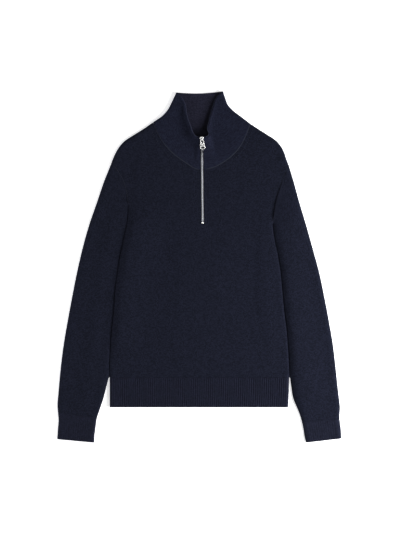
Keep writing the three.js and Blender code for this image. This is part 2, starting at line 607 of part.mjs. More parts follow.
function collarGeometry() {
  const rim = { right: curveOf(COLLAR_RIM.right), left: curveOf(COLLAR_RIM.left) };
  const fold = { right: curveOf(insetFold('right')), left: curveOf(insetFold('left')) };
  const rollAngles = [90, 60, 30].map((degrees) => THREE.MathUtils.degToRad(degrees));

  // The seam passes through the same points as the front's rows, so that their edges run side
  // by side
  const seamPoint = (side, y) => new THREE.Vector3(at(NECK[side], y), y, 0);

  // Middle of the cloth on the front collar, s from the zip to the fold, v from seam to rim
  const frontPoint = (side, s, seamY, v) => {
    const low = seamPoint(side, seamY);
    const high = rim[side].getPointAt(s);
    const up = v * (1 - RIM_INSET / low.distanceTo(high));
    const ends = { low: seamPoint(side, NECK_POINT[side].y), high: rim[side].getPointAt(1) };
    const foldAt = fold[side].getPointAt(clamp01(v));
    const p = low.clone().lerp(high, up);
    p.x += s ** 3 * (foldAt.x - mix(ends.low.x, ends.high.x, up));
    p.y += s ** 3 * (foldAt.y - mix(ends.low.y, ends.high.y, up));
    const seamZ = mix(COLLAR_SEAM_Z, COLLAR_FOLD_Z, clamp01((s - 0.5) / 0.4));
    p.z = mix(seamZ, high.z, collarRise(clamp01(v)));
    if (s === 0) p.x = zipX(p.y) + mirrorSign[side] * SLIT_HALF;
    return p;
  };
  const backPoint = (t, v) => {
    const a = fold.right.getPointAt(clamp01(v));
    const b = fold.left.getPointAt(clamp01(v));
    const dip = mix(BACK_NECK_DIP, COLLAR_TOP_DIP, v) * Math.sin(Math.PI * t);
    return new THREE.Vector3(mix(a.x, b.x, t), mix(a.y, b.y, t) - dip, COLLAR_WALL / 2);
  };
  const halfRow = (side, v) => {
    const seamRows = FRONT_ROWS.filter((row) => row.inner >= NECK_FRONT && row.inner < 340);
    const front = seamRows.map((row, i) => {
      const s = (FRONT_COLLAR_SHARE * i) / (seamRows.length - 1);
      return frontPoint(side, s, row.inner, v);
    });
    const end = frontPoint(side, 1, NECK_POINT[side].y, v);
    const inward = front.at(-1).clone().sub(end).setZ(0).normalize();
    const backInward = backPoint(side === 'right' ? 0.1 : 0.9, v).sub(end).setZ(0).normalize();
    const half = (end.z - COLLAR_WALL / 2) / 2;
    const middle = end.z - half;
    const turn = (way, direction) => rollAngles.map((angle) => {
      const p = end.clone().addScaledVector(way, COLLAR_ROLL * (1 - Math.cos(angle)));
      return p.setZ(middle + direction * half * Math.sin(angle));
    });
    return [
      ...front, ...turn(inward, 1), end.clone().setZ(middle), ...turn(backInward, -1).reverse(),
    ];
  };
  const levels = [0, 0.22, 0.44, 0.64, 0.8, 0.92, 1];
  const middle = levels.map((v) => [
    ...halfRow('right', v),
    ...[0.25, 0.5, 0.75].map((t) => backPoint(t, v)),
    ...halfRow('left', v).reverse(),
  ]);
  const normals = middle.map((row, r) => row.map((p, c) => {
    const alongU = row[Math.min(c + 1, row.length - 1)].clone().sub(row[Math.max(c - 1, 0)]);
    const above = middle[Math.min(r + 1, middle.length - 1)][c];
    const alongV = above.clone().sub(middle[Math.max(r - 1, 0)][c]);
    return alongV.cross(alongU).normalize();
  }));
  const offset = (row, r, distance) => row.map((p, c) => {
    const moved = p.clone().addScaledVector(normals[r][c], distance);
    return moved.setZ(Math.max(moved.z, 0));
  });
  const face = middle.map((row, r) => offset(row, r, COLLAR_WALL / 2));
  const inner = middle.map((row, r) => offset(row, r, -COLLAR_WALL / 2));
  const lastRow = middle.at(-1);
  const rounded = lastRow.map((p, c) => {
    const up = p.clone().sub(middle.at(-2)[c]).normalize();
    return p.clone().addScaledVector(up, RIM_ROUND);
  });
  face.push(offset(rounded, levels.length - 1, COLLAR_WALL / 4));
  inner.push(offset(rounded, levels.length - 1, -COLLAR_WALL / 4));
  return wall(face, inner);
}

// Height of the middle of the collar's cloth beside the zip
const zipCollarZ = (y) => {
  const v = clamp01((y - NECK_FRONT) / (RIM_FRONT - RIM_INSET - NECK_FRONT));
  return mix(COLLAR_SEAM_Z, COLLAR_RIM.right[0].z, collarRise(v));
};
// Face of the tape: under the front's cloth in the body, inside the slit in the collar
function tapeTopZ(y) {
  const body = LAID_TOP - TAPE_DROP;
  const collar = zipCollarZ(y) - TAPE_SINK;
  const share = clamp01((y - (NECK_FRONT - TAPE_WING_STOP)) / TAPE_RISE);
  return mix(body, collar, share);
}

// A strip along the zip between two heights, half or whole
function zipStrip(ys, leftX, rightX, lowZ, highZ) {
  const face = ys.map((y) => [leftX(y), rightX(y)].map((x) => ({ x, y, z: highZ(y) })));
  const under = ys.map((y) => [leftX(y), rightX(y)].map((x) => ({ x, y, z: lowZ(y) })));
  return wall(face, under);
}
function tapeGeometry(side) {
  const sign = mirrorSign[side];
  const narrow = SLIT_HALF - 2 * SEAM_GAP;
  const wingEnd = NECK_FRONT - TAPE_WING_STOP;
  const ys = [
    SLIT_BOTTOM - TAPE_TAIL, 130, 170, 205, wingEnd - 9, wingEnd, wingEnd + 1, 246, 258, 270, 282, 292,
    CHAIN_TOP,
  ];
  const outer = (y) => zipX(y) + sign * (y <= wingEnd ? TAPE_WING : narrow);
  const centre = (y) => zipX(y) + (sign * SEAM_GAP) / 2;
  const [a, b] = side === 'right' ? [outer, centre] : [centre, outer];
  return zipStrip(ys, a, b, (y) => tapeTopZ(y) - TAPE_THICK, tapeTopZ);
}
function chainGeometry() {
  const ys = [CHAIN_BOTTOM, 150, 190, 222, 236, 246, 258, 270, 282, 292, CHAIN_TOP];
  const low = (y) => tapeTopZ(y) + SEAM_GAP;
  return zipStrip(
    ys,
    (y) => zipX(y) - CHAIN_HALF,
    (y) => zipX(y) + CHAIN_HALF,
    low,
    (y) => low(y) + CHAIN_THICK,
  );
}
function stopGeometry() {
  const box = new THREE.BoxGeometry(STOP.width, STOP.length, STOP.thick);
  const low = tapeTopZ(SLIT_BOTTOM) + SEAM_GAP;
  box.translate(zipX(SLIT_BOTTOM), CHAIN_BOTTOM - SEAM_GAP - STOP.length / 2, low + STOP.thick / 2);
  return box;
}

// Slider and pull tab, drawn in a frame on the zip: y up the zip, z off its face, the tab's hinge
// line along x at height HINGE_Z
const SLIDER = { width: 10.4, length: 12.4, plate: 1.7, underWidth: 6.6, underDepth: 3.6, bail: 2.2 };
const PLATE_LOW = 2.8;         // underside of the slider's plate off the middle of the collar's cloth
const HINGE_Z = PLATE_LOW + SLIDER.plate + 2.0;
const BAIL_HOLE = 1.5;
const BAIL_OUTSIDE = 2.9;
const TAB = { length: 28, topHalf: 4.4, endHalf: 7.6, thick: 1.8 };
const TAB_SLOT = { half: 1.6, from: 0.8, to: 10.6 };
const TAB_HOLE = { y: -22.4, halfWide: 4.3, halfTall: 2.6 };
const SLIDER_Y = 309.5;        // middle of the slider, at the top of the zip
const ZIP_SLOPE = Math.atan((zipCollarZ(311) - zipCollarZ(299)) / 12);
const TAB_DROOP = THREE.MathUtils.degToRad(-1.5);   // its tip is a little nearer to the zip
const TAB_TWIST = THREE.MathUtils.degToRad(5.5);    // and a little to the wearer's left

function toManifold(geometry) {
  geometry.deleteAttribute('normal');
  geometry.deleteAttribute('uv');
  const merged = mergeVertices(geometry, 1e-4);
  return new wasm.Manifold(new wasm.Mesh({
    numProp: 3,
    vertProperties: new Float32Array(merged.attributes.position.array),
    triVerts: new Uint32Array(merged.index.array),
  }));
}
function fromManifold(manifold) {
  const mesh = manifold.getMesh();
  const geometry = new THREE.BufferGeometry();
  geometry.setAttribute('position', new THREE.Float32BufferAttribute(mesh.vertProperties, 3));
  geometry.setIndex(Array.from(mesh.triVerts));
  return geometry;
}

function sliderGeometry() {
  const plan = new THREE.Shape();
  const w = SLIDER.width / 2;
  const l = SLIDER.length / 2;
  plan.moveTo(-0.62 * w, -l);
  plan.lineTo(0.62 * w, -l);
  plan.quadraticCurveTo(0.9 * w, -0.5 * l, w, 0.35 * l);
  plan.quadraticCurveTo(w, 0.75 * l, 0.72 * w, 0.8 * l);
  plan.lineTo(0.5 * w, l);
  plan.lineTo(-0.5 * w, l);
  plan.lineTo(-0.72 * w, 0.8 * l);
  plan.quadraticCurveTo(-w, 0.75 * l, -w, 0.35 * l);
  plan.quadraticCurveTo(-0.9 * w, -0.5 * l, -0.62 * w, -l);
  const plate = new THREE.ExtrudeGeometry(plan, {
    depth: SLIDER.plate, bevelEnabled: false, curveSegments: 4,
  });
  plate.translate(0, 0, PLATE_LOW);
  const under = new THREE.BoxGeometry(SLIDER.underWidth, SLIDER.length - 2, SLIDER.underDepth);
  under.translate(0, 0, PLATE_LOW + 0.4 - SLIDER.underDepth / 2);
  const arch = new THREE.Shape();
  const base = PLATE_LOW + SLIDER.plate / 2;
  arch.moveTo(-BAIL_OUTSIDE, base);
  arch.lineTo(BAIL_OUTSIDE, base);
  arch.lineTo(BAIL_OUTSIDE, HINGE_Z);
  arch.absarc(0, HINGE_Z, BAIL_OUTSIDE, 0, Math.PI, false);
  arch.lineTo(-BAIL_OUTSIDE, base);
  const hole = new THREE.Path();
  hole.absarc(0, HINGE_Z, BAIL_HOLE, 0, 2 * Math.PI, true);
  arch.holes.push(hole);
  const bail = new THREE.ExtrudeGeometry(arch, {
    depth: SLIDER.bail, bevelEnabled: false, curveSegments: 8,
  });
  bail.translate(0, 0, -SLIDER.bail / 2);
  bail.rotateY(Math.PI / 2).rotateX(Math.PI / 2);
  return fromManifold(toManifold(plate).add(toManifold(under)).add(toManifold(bail)));
}

// The tab hangs from the hinge line at its own origin, toward -y
function tabGeometry() {
  const top = TAB_SLOT.from;
  const end = -(TAB.length - TAB.endHalf * 0.8);
  const shape = new THREE.Shape();
  shape.moveTo(-TAB.topHalf, top);
  shape.lineTo(-TAB.endHalf, end);
  shape.bezierCurveTo(
    -TAB.endHalf, end - 5.4, -TAB.endHalf * 0.62, -TAB.length, 0, -TAB.length,
  );
  shape.bezierCurveTo(TAB.endHalf * 0.62, -TAB.length, TAB.endHalf, end - 5.4, TAB.endHalf, end);
  shape.lineTo(TAB.topHalf, top);
  shape.lineTo(-TAB.topHalf, top);
  const slot = new THREE.Path();
  slot.moveTo(-TAB_SLOT.half, -TAB_SLOT.from);
  slot.lineTo(TAB_SLOT.half, -TAB_SLOT.from);
  slot.lineTo(TAB_SLOT.half, -5);
  slot.bezierCurveTo(TAB_SLOT.half, -8, 0.8, -TAB_SLOT.to, 0, -TAB_SLOT.to);
  slot.bezierCurveTo(-0.8, -TAB_SLOT.to, -TAB_SLOT.half, -8, -TAB_SLOT.half, -5);
  slot.lineTo(-TAB_SLOT.half, -TAB_SLOT.from);
  const hole = new THREE.Path();
  hole.absellipse(0, TAB_HOLE.y, TAB_HOLE.halfWide, TAB_HOLE.halfTall, 0, 2 * Math.PI, true);
  shape.holes.push(slot, hole);
  const tab = new THREE.ExtrudeGeometry(shape, {
    depth: TAB.thick, bevelEnabled: false, curveSegments: 6,
  });
  tab.translate(0, 0, -TAB.thick / 2);
  return fromManifold(toManifold(tab));
}

// Materials by what the pieces are made of
const knit = () => new THREE.MeshStandardMaterial({ color: '#1d1f2c', roughness: 0.95, metalness: 0 });
const tapeCloth = () => new THREE.MeshStandardMaterial({
  color: '#191b26', roughness: 0.9, metalness: 0,
});
const nickel = () => new THREE.MeshStandardMaterial({
  color: '#c9c6c0', roughness: 0.25, metalness: 1,
});

const sweater = new THREE.Group();
function piece(name, geometry, material, parent = sweater) {
  const mesh = new THREE.Mesh(geometry, material);
  mesh.name = name;
  parent.add(mesh);
  return mesh;
}

piece('front', frontGeometry(), knit());
piece('back', backGeometry(), knit());
piece('hem_front', hemFrontGeometry(), knit());
piece('hem_back', hemBackGeometry(), knit());
for (const side of ['right', 'left']) {
  piece(`${side}_sleeve`, sleeveGeometry(side), knit());
  piece(`${side}_cuff`, cuffGeometry(side), knit());
  piece(`zip_tape_${side}`, tapeGeometry(side), tapeCloth());
}
piece('collar', collarGeometry(), knit());
piece('zip_chain', chainGeometry(), nickel());
piece('zip_bottom_stop', stopGeometry(), nickel());

const onZip = new THREE.Group();
onZip.position.set(zipX(SLIDER_Y), SLIDER_Y, zipCollarZ(SLIDER_Y));
onZip.rotation.set(ZIP_SLOPE, 0, 0);
sweater.add(onZip);
piece('zip_slider', sliderGeometry(), nickel(), onZip);
const tab = piece('zip_pull_tab', tabGeometry(), nickel(), onZip);
tab.position.set(0, 0, HINGE_Z);
tab.rotation.set(TAB_DROOP, 0, TAB_TWIST, 'ZXY');

export default sweater;
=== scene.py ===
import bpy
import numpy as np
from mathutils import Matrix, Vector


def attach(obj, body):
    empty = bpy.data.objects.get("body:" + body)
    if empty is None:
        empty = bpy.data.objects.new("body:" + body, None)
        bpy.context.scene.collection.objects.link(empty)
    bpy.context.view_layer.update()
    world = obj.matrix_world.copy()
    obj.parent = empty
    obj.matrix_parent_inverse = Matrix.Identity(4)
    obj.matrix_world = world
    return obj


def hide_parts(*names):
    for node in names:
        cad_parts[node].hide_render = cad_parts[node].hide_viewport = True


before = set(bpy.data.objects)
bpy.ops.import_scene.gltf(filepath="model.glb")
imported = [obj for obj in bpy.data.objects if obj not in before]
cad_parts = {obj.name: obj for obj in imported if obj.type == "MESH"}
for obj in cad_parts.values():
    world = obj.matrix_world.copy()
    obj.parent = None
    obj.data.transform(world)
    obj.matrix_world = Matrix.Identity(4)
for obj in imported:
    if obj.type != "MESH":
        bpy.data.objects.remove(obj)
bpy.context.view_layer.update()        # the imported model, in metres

# %% [markdown]
# # A quarter-zip sweater, laid flat and seen from straight above
#
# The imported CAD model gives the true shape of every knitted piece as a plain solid. This script
# lays a fine surface over each of them, adds what a maker would add with needle and thread, and
# gives the wool, the zip's tape and the plated metal their finish. Everything sits in the CAD's
# own frame: +X to the wearer's left, +Y from the hem to the collar, +Z up off the surface.
#
# Sizes below are in millimetres, as on a maker's drawing, and become metres only when a mesh is
# made.

MM = 0.001

# %% [markdown]
# ## The pattern's sizes
#
# Laid flat, a garment is its outlines: side, armhole, shoulder, sleeve, neck, collar. Each one is
# a short table of x at y, the same that the CAD was drawn from, and a smooth curve runs through
# it. right and left are the wearer's, so right is on the viewer's left.

# %% Sizes of the cloth
KNIT = 2.5            # one knitted layer
COLLAR_WALL = 4.6     # the collar is a folded double layer
SEAM_GAP = 0.35       # between two pieces that a seam joins
ARMHOLE_GAP = -0.1
SLEEVE_GAP = -0.3     # the sleeves press on the body's sides
SIDE_SEAM_Z = 3.6     # the side seams lie halfway up the rolled edge
LAID_TOP = 7.1        # top of the front where it lies over the back
BODY_ROLL, SLEEVE_ROLL, UNDER_ROLL = 6.0, 11.0, 5.0      # how wide each rolled edge is
RIB_PITCH, RIB_HEIGHT, CUFF_RIB = 5.18, 1.1, 0.6
HEM_TOP, HEM_BOTTOM = -264.0, -334.8
SLIT_BOTTOM, SLIT_HALF = 103.4, 3.8
NECK_FRONT, RIM_FRONT = 236.0, 313.0
SIDES = ("right", "left")
SIGN = {"right": -1.0, "left": 1.0}
OTHER = {"right": "left", "left": "right"}

# %% Outlines, as (y, x)
SIDE = {
    "right": [(-336, -214.6), (-264, -214.8), (-240, -216.0), (-205, -214.4), (-156, -211.2), (-98, -205.2),
              (-60, -203.2), (-8, -196.0), (36, -189.1), (74, -180.6), (113, -172.8), (149, -170.8)],
    "left": [(-336, 212.6), (-300, 214.4), (-264, 215.2), (-247, 216.0), (-205, 214.0), (-151, 209.8),
             (-103, 204.0), (-55, 199.6), (-7, 194.6), (41, 186.6), (75, 179.2), (105, 176.4)],
}
ARMHOLE = {
    "right": [(149, -170.8), (175, -174.6), (203, -181.4), (221, -190.0), (239, -202.0), (248.6, -211.4)],
    "left": [(105, 176.4), (145, 181.8), (185, 191.8), (214, 202.0), (245, 214.2)],
}
SHOULDER = {
    "right": [(248.6, -211.4), (261.6, -206.6), (276, -199.9), (290.4, -191.0), (304.8, -177.4),
              (319.2, -154.6), (333.6, -131.6), (348.3, -111.0)],
    "left": [(245, 214.2), (261.6, 207.8), (276, 203.0), (290.4, 195.4), (304.8, 182.9), (319.2, 161.3),
             (333.6, 138.4), (345, 121.6)],
}
SLEEVE_OUTER = {
    "right": [(248.6, -211.4), (204, -229.2), (160, -244.1), (103, -263.8), (45, -280.1), (-12, -293.3),
              (-70, -304.8), (-127, -315.4), (-185, -325.2), (-242, -332.4), (-300, -337.7), (-330, -340.0),
              (-347, -338.8), (-366, -337.4), (-386, -338.9), (-412, -340.6)],
    "left": [(245, 214.2), (204, 226.6), (160, 238.6), (103, 255.6), (45, 271.9), (-12, 287.3), (-70, 299.5),
             (-127, 310.3), (-185, 320.2), (-242, 326.9), (-300, 333.1), (-335, 337.0), (-358, 335.8),
             (-372, 337.0), (-386, 338.9), (-412, 340.6)],
}
SLEEVE_FREE = {
    "right": [(-262, -217.0), (-286, -223.2), (-314, -230.4), (-343, -240.0), (-362, -246.2), (-386, -249.6),
              (-405, -252.0), (-420, -252.4)],
    "left": [(-262, 217.6), (-286, 220.8), (-314, 225.6), (-343, 237.6), (-362, 244.2), (-386, 249.6),
             (-405, 252.6), (-420, 256.4)],
}
NECK = {
    "right": [(236, 3.6), (236.8, -8.0), (246, -24.0), (257.5, -40.6), (273.5, -62.6), (298.6, -85.0),
              (321, -98.4), (348.3, -111.0)],
    "left": [(236, 11.4), (236.6, 17.0), (240, 31.0), (245.5, 44.2), (263, 71.0), (285.4, 93.4), (317, 111.0),
             (345, 121.6)],
}
UNDERARM_Y = {"right": 149.0, "left": 105.0}
TIP = {"right": (-211.4, 248.6), "left": (214.2, 245.0)}
NECK_POINT = {"right": (-111.0, 348.3), "left": (121.6, 345.0)}


def cubic(a, b, slope_a, slope_b, span, t):
    """A cubic from a to b with a given slope at each end, at a share t of its span."""
    rest = 1 - t
    return (rest ** 2 * (1 + 2 * t) * a + t ** 2 * (3 - 2 * t) * b
            + t * rest ** 2 * span * slope_a - t ** 2 * rest * span * slope_b)


def at(table, y):
    """x at y on a table: each span is a cubic whose slope at a table point is the average over
    its two neighbours."""
    ys, xs = np.array(sorted(table), float).T
    number = np.arange(len(ys))
    before, after = np.maximum(number - 1, 0), np.minimum(number + 1, len(ys) - 1)
    slope = (xs[after] - xs[before]) / (ys[after] - ys[before])
    y = np.asarray(y, float)
    i = np.clip(np.searchsorted(ys, y) - 1, 0, len(ys) - 2)
    span = ys[i + 1] - ys[i]
    return cubic(xs[i], xs[i + 1], slope[i], slope[i + 1], span, np.clip((y - ys[i]) / span, 0, 1))


def mix(a, b, t):
    """a at t = 0 and b at t = 1, on a straight line."""
    return a + (b - a) * t


def share_of(value, low, high):
    """0 up to low, 1 from high on, and a straight line between them."""
    return np.clip((value - low) / (high - low), 0, 1)


def ease(t):
    """A share with a soft start and a soft end: 3 t squared less 2 t cubed."""
    return t ** 2 * (3 - 2 * t)


def zip_x(y):
    """Centre line of the zip, which leans a little as the sweater was laid down."""
    return mix(8.2, 6.0, share_of(np.asarray(y, float), SLIT_BOTTOM, RIM_FRONT))


print("body width at the hem, mm:", round(float(at(SIDE["left"], -300) - at(SIDE["right"], -300)), 1))

# %% [markdown]
# ## How laid cloth rises from its edge
#
# Two layers of knit lie on the table and are joined at a fold or seam along each side. Seen in
# section the upper layer climbs from the side seam as a quarter of an ellipse and then runs
# level. A wool layer isn't quite level, though: air stays in just inside the fold, the middle
# sinks, and there are a few long soft waves where it was smoothed out by hand. So the height of
# a point is worked out from its distance to the nearest edge, and the waves are added by name,
# each with its own place, width and height.

# %% Distance to an edge
def edge_chain(xs, ys, side):
    """Points of an edge with normals that point out of the cloth: each normal is the edge's
    direction turned by a right angle."""
    dx, dy = np.gradient(xs), np.gradient(ys)
    length = np.hypot(dx, dy) * np.sign(ys[-1] - ys[0]) * SIGN[side]
    return np.stack([xs, ys, dy / length, -dx / length], axis=1)


def edge_distance(x, y, chains):
    """Distance from each point to the nearest edge, and the way out of the cloth there."""
    best = np.full(x.shape, np.inf)
    out_x, out_y = np.zeros(x.shape), np.zeros(x.shape)
    for chain in chains:
        for a, b in zip(chain[:-1], chain[1:]):
            run = b[:2] - a[:2]
            t = np.clip(((x - a[0]) * run[0] + (y - a[1]) * run[1]) / (run @ run), 0, 1)
            d = np.hypot(x - a[0] - t * run[0], y - a[1] - t * run[1])
            near = d < best
            best = np.where(near, d, best)
            out_x = np.where(near, mix(a[2], b[2], t), out_x)
            out_y = np.where(near, mix(a[3], b[3], t), out_y)
    return best, out_x, out_y


def table_chain(table, low, high, count, side):
    """The edge of a table from one level to another."""
    y = np.linspace(low, high, count)
    return edge_chain(at(table, y), y, side)


def rolled(distance, roll):
    """Share of the full height at a distance in from a rolled edge: a quarter of an ellipse."""
    return np.sqrt(1 - (1 - np.clip(distance / roll, 0, 1)) ** 2)


BODY_EDGES = []
for side in SIDES:
    BODY_EDGES += [
        table_chain(SIDE[side], HEM_BOTTOM, UNDERARM_Y[side], 41, side),
        table_chain(SHOULDER[side], TIP[side][1], NECK_POINT[side][1], 25, side),
    ]

# %% Waves in the upper layer
# part of the garment, line of the crest as (x, y), half width, height: a trough is below 0
ARMHOLE_DIP = [(-172, 120), (-173, 165), (-172, 209), (-167, 245), (-160, 285)]
WAVES = [
    ("body", [(-142, 185), (-146, 113), (-156, 65), (-168, 17), (-178, -31), (-190, -90),
              (-199, -160), (-206, -250)], 46, 9.4),
    ("body", [(-84, 130), (-84, 17), (-98, -79), (-120, -175), (-130, -240)], 36, -1.6),
    ("body", [(40, 90), (44, -20), (50, -120)], 40, 1.6),
    ("body", [(130, 150), (135, 90), (133, 17), (130, -79), (154, -175), (170, -260)], 9, -0.8),
    ("body", [(150, 160), (153, 90), (155, 17), (158, -79), (168, -175), (176, -260)], 27, 2.0),
    ("sleeve", [(-196, 190), (-214, 89), (-235, -7), (-245, -103), (-257, -199), (-274, -295),
                (-283, -400)], 16, 2.6),
    ("sleeve", [(192, 238), (200, 180), (206, 137), (211, 89), (218, -7), (226, -103),
                (235, -199), (252, -295), (260, -400)], 42, 5.4),
    ("body", ARMHOLE_DIP, 15, -2.0),
    ("sleeve", ARMHOLE_DIP, 15, -2.0),
]
RIDGE_HEIGHT, RIDGE_AT, RIDGE_WIDTH = 0.8, 8.0, 7.0     # the air just inside the fold
WAVE_EDGE = 18.0      # a wave reaches its full height this far in from an edge
WAVE_FADE = 0.22      # and over this share of its length from each end


def run_along(line):
    """Distance travelled at each point of a line of points."""
    return np.concatenate([[0], np.cumsum(np.linalg.norm(np.diff(line, axis=0), axis=1))])


def line_distance(x, y, line):
    """Distance from each point to the nearest place on a line, and how far along the line that
    place is, as a share of its length."""
    line = np.array(line, float)
    run = run_along(line)
    best, share = np.full(x.shape, np.inf), np.zeros(x.shape)
    for a, b, start, end in zip(line[:-1], line[1:], run[:-1], run[1:]):
        ahead = (x - a[0]) * (b[0] - a[0]) + (y - a[1]) * (b[1] - a[1])
        t = np.clip(ahead / (end - start) ** 2, 0, 1)
        d = np.hypot(x - mix(a[0], b[0], t), y - mix(a[1], b[1], t))
        near = d < best
        best, share = np.where(near, d, best), np.where(near, mix(start, end, t) / run[-1], share)
    return best, share


def wave_height(x, y, part):
    """Sum of the waves: each is a bell curve across its line and fades in and out along it."""
    height = np.zeros(x.shape)
    for on, line, wide, tall in WAVES:
        if on == part:
            away, share = line_distance(x, y, line)
            fade = ease(share_of(np.minimum(share, 1 - share), 0, WAVE_FADE))
            height += tall * fade * np.exp(-(away / wide) ** 2)
    return height


def upper_layer(x, y, chains, part, roll, raised=0.0):
    """Face and inside of the upper layer over (x, y): the edge's quarter ellipse times the laid
    height, with its ridge and waves. The inside is one knit's thickness in from the face, taken
    sideways at the edge and straight down where the cloth is level."""
    distance, out_x, out_y = edge_distance(x, y, chains)
    share = rolled(distance, roll)
    ridge = RIDGE_HEIGHT * np.exp(-((distance - RIDGE_AT) / RIDGE_WIDTH) ** 2)
    waves = ease(share_of(distance, 0, WAVE_EDGE)) * wave_height(x, y, part)
    z = SIDE_SEAM_Z + SEAM_GAP / 2 + (LAID_TOP - SIDE_SEAM_Z + ridge + waves) * share
    inward = 1 - np.clip(distance / roll, 0, 1)
    face = np.stack([x, y, z + raised * share], axis=-1)
    inner = np.stack([x - KNIT * inward * out_x, y - KNIT * inward * out_y, z - KNIT * share], axis=-1)
    return face, inner


def lower_layer(x, y, chains):
    """Face and inside of the lower layer: flat on the table, rolling up to the side seam."""
    distance, out_x, out_y = edge_distance(x, y, chains)
    share = rolled(distance, UNDER_ROLL)
    z = (SIDE_SEAM_Z - SEAM_GAP / 2) * (1 - share)
    inward = 1 - np.clip(distance / UNDER_ROLL, 0, 1)
    face = np.stack([x, y, z], axis=-1)
    inner = np.stack([x - KNIT * inward * out_x, y - KNIT * inward * out_y, z + KNIT * share], axis=-1)
    return face, inner


# %% [markdown]
# ## From grids to meshes
#
# A knitted piece is a wall between two grids of points, its face and its inside. Joining the
# grids along every free edge closes the wall, so each piece is a real thickness of cloth and not
# a paper-thin sheet. The mesh also carries the cloth's own measure, in metres of knit across and
# along, so that the stitches follow the piece wherever it bends.

# %% Meshes from arrays
def mesh_of(name, points, faces, cloth=None, crease=50):
    """A smooth mesh piece from points in mm and faces of four corners. cloth gives each point's
    place on the knit, in mm."""
    mesh = bpy.data.meshes.new(name)
    mesh.vertices.add(len(points))
    mesh.vertices.foreach_set("co", (np.asarray(points, float) * MM).astype(np.float32).ravel())
    mesh.loops.add(faces.size)
    mesh.loops.foreach_set("vertex_index", faces.astype(np.int32).ravel())
    mesh.polygons.add(len(faces))
    mesh.polygons.foreach_set("loop_start", np.arange(0, faces.size, faces.shape[1], dtype=np.int32))
    mesh.polygons.foreach_set("use_smooth", np.ones(len(faces), bool))
    if cloth is not None:
        layer = mesh.uv_layers.new(name="cloth")
        layer.data.foreach_set("uv", (cloth[faces.ravel()] * MM).astype(np.float32).ravel())
    mesh.update(calc_edges=True)
    mesh.validate()
    mesh.set_sharp_from_angle(angle=np.radians(crease))
    piece = bpy.data.objects.new(name, mesh)
    bpy.context.scene.collection.objects.link(piece)
    return piece


def outward(points, faces):
    """The faces turned round if the closed mesh has a volume below zero."""
    a, b, c, d = (points[faces[:, i]] for i in range(4))
    volume = (a * np.cross(b, c)).sum() + (a * np.cross(c, d)).sum()
    return faces if volume > 0 else faces[:, ::-1]


def wall(face, inner, around=False, left_out=None):
    """Points and faces of the closed wall between two grids. around joins the last column to the
    first, and left_out marks cells of the grid that stay empty."""
    rows, columns = face.shape[:2]
    number = np.arange(rows * columns).reshape(rows, columns)
    if around:
        number = np.hstack([number, number[:, :1]])
    cell = np.ones((number.shape[0] - 1, number.shape[1] - 1), bool)
    if left_out is not None:
        cell &= ~left_out
    a, b, c, d = number[:-1, :-1], number[:-1, 1:], number[1:, 1:], number[1:, :-1]
    other = rows * columns
    top = np.stack([a, b, c, d], axis=-1)[cell]
    faces = [top, top[:, ::-1] + other]
    framed = np.pad(cell, 1)
    if around:
        framed[:, 0], framed[:, -1] = framed[:, -2], framed[:, 1]
    beside = {
        "below": (framed[:-2, 1:-1], a, b), "right": (framed[1:-1, 2:], b, c),
        "above": (framed[2:, 1:-1], c, d), "left": (framed[1:-1, :-2], d, a),
    }
    for neighbour, p, q in beside.values():
        free = cell & ~neighbour
        faces.append(np.stack([q[free], p[free], p[free] + other, q[free] + other], axis=1))
    points = np.concatenate([face.reshape(-1, 3), inner.reshape(-1, 3)])
    return points, outward(points, np.concatenate(faces))


def cloth_piece(name, face, inner, measure, around=False, left_out=None):
    """One knitted piece from its two grids. measure is (across, along) on the knit in mm."""
    points, faces = wall(face, inner, around, left_out)
    flat = np.stack([np.broadcast_to(m, face.shape[:2]) for m in measure], axis=-1).reshape(-1, 2)
    piece = mesh_of(name, points, faces, np.concatenate([flat, flat]))
    print(name, "has", len(faces), "faces of four corners")
    return piece


def soft_cut(distance, radius=1.1):
    """How far a cut or linked edge rounds off below the face: a quarter circle of that radius."""
    return radius * (1 - np.sqrt(1 - (1 - np.clip(distance / radius, 0, 1)) ** 2))


def spaced(stations, step, lengths):
    """Row numbers that pass through every station, with enough between two stations that no row
    is further than step from the next."""
    parts = [np.linspace(k, k + 1, max(int(np.ceil(length / step)), 1), endpoint=False)
             for k, length in zip(range(stations - 1), lengths)]
    return np.concatenate(parts + [[stations - 1.0]])


# %% [markdown]
# ## The front
#
# The front panel is one piece of knit from the hem's rib to the shoulders, cut open down the
# middle for the zip, with the neckline scooped out. Its rows follow the courses of the knit: flat
# across the body, and turning up into the shoulder slope at the top. A row is a straight line
# from the side to the zip or neck, bent by the shoulder's own bulge as it comes near it.

# %% The front's rows
# y on the centre line or neck seam, y on the wearer's right side, y on the left
FRONT_ROWS = np.array([
    (-264, -264, -264), (-215, -215, -215), (-150, -150, -150), (-90, -90, -90), (-30, -30, -30),
    (25, 25, 20), (65, 80, 60), (103.4, 120, 88), (140, 149, 105), (175, 165, 132), (208, 182, 160),
    (236, 198, 185), (245, 209, 200), (258, 219, 213), (280, 229, 225), (303, 238, 235),
    (322, 243, 240), (334, 246, 243), (341, 247.4, 244.1), (344, 248.2, 244.7), (348.3, 248.6, 245),
])
FIRST_SLIT_ROW, FIRST_NECK_ROW, FRONT_COLUMNS = 7, 11, 62


def inner_y(side, row):
    """y on the zip or neck at a row number. Along the neck the rows are shared out by the seam's
    length, because the seam is almost level beside the zip."""
    knots = FRONT_ROWS[:, 0].copy()
    knots[-1] = NECK_POINT[side][1]
    y = np.linspace(NECK_FRONT, knots[-1], 1500)
    seam = run_along(np.stack([at(NECK[side], y), y], axis=1))
    neck_knots = np.interp(knots[FIRST_NECK_ROW:], y, seam)
    along = np.interp(row, np.arange(FIRST_NECK_ROW, len(knots)), neck_knots)
    below = np.interp(row, np.arange(len(knots)), knots)
    return np.where(row < FIRST_NECK_ROW, below, np.interp(along, seam, y))


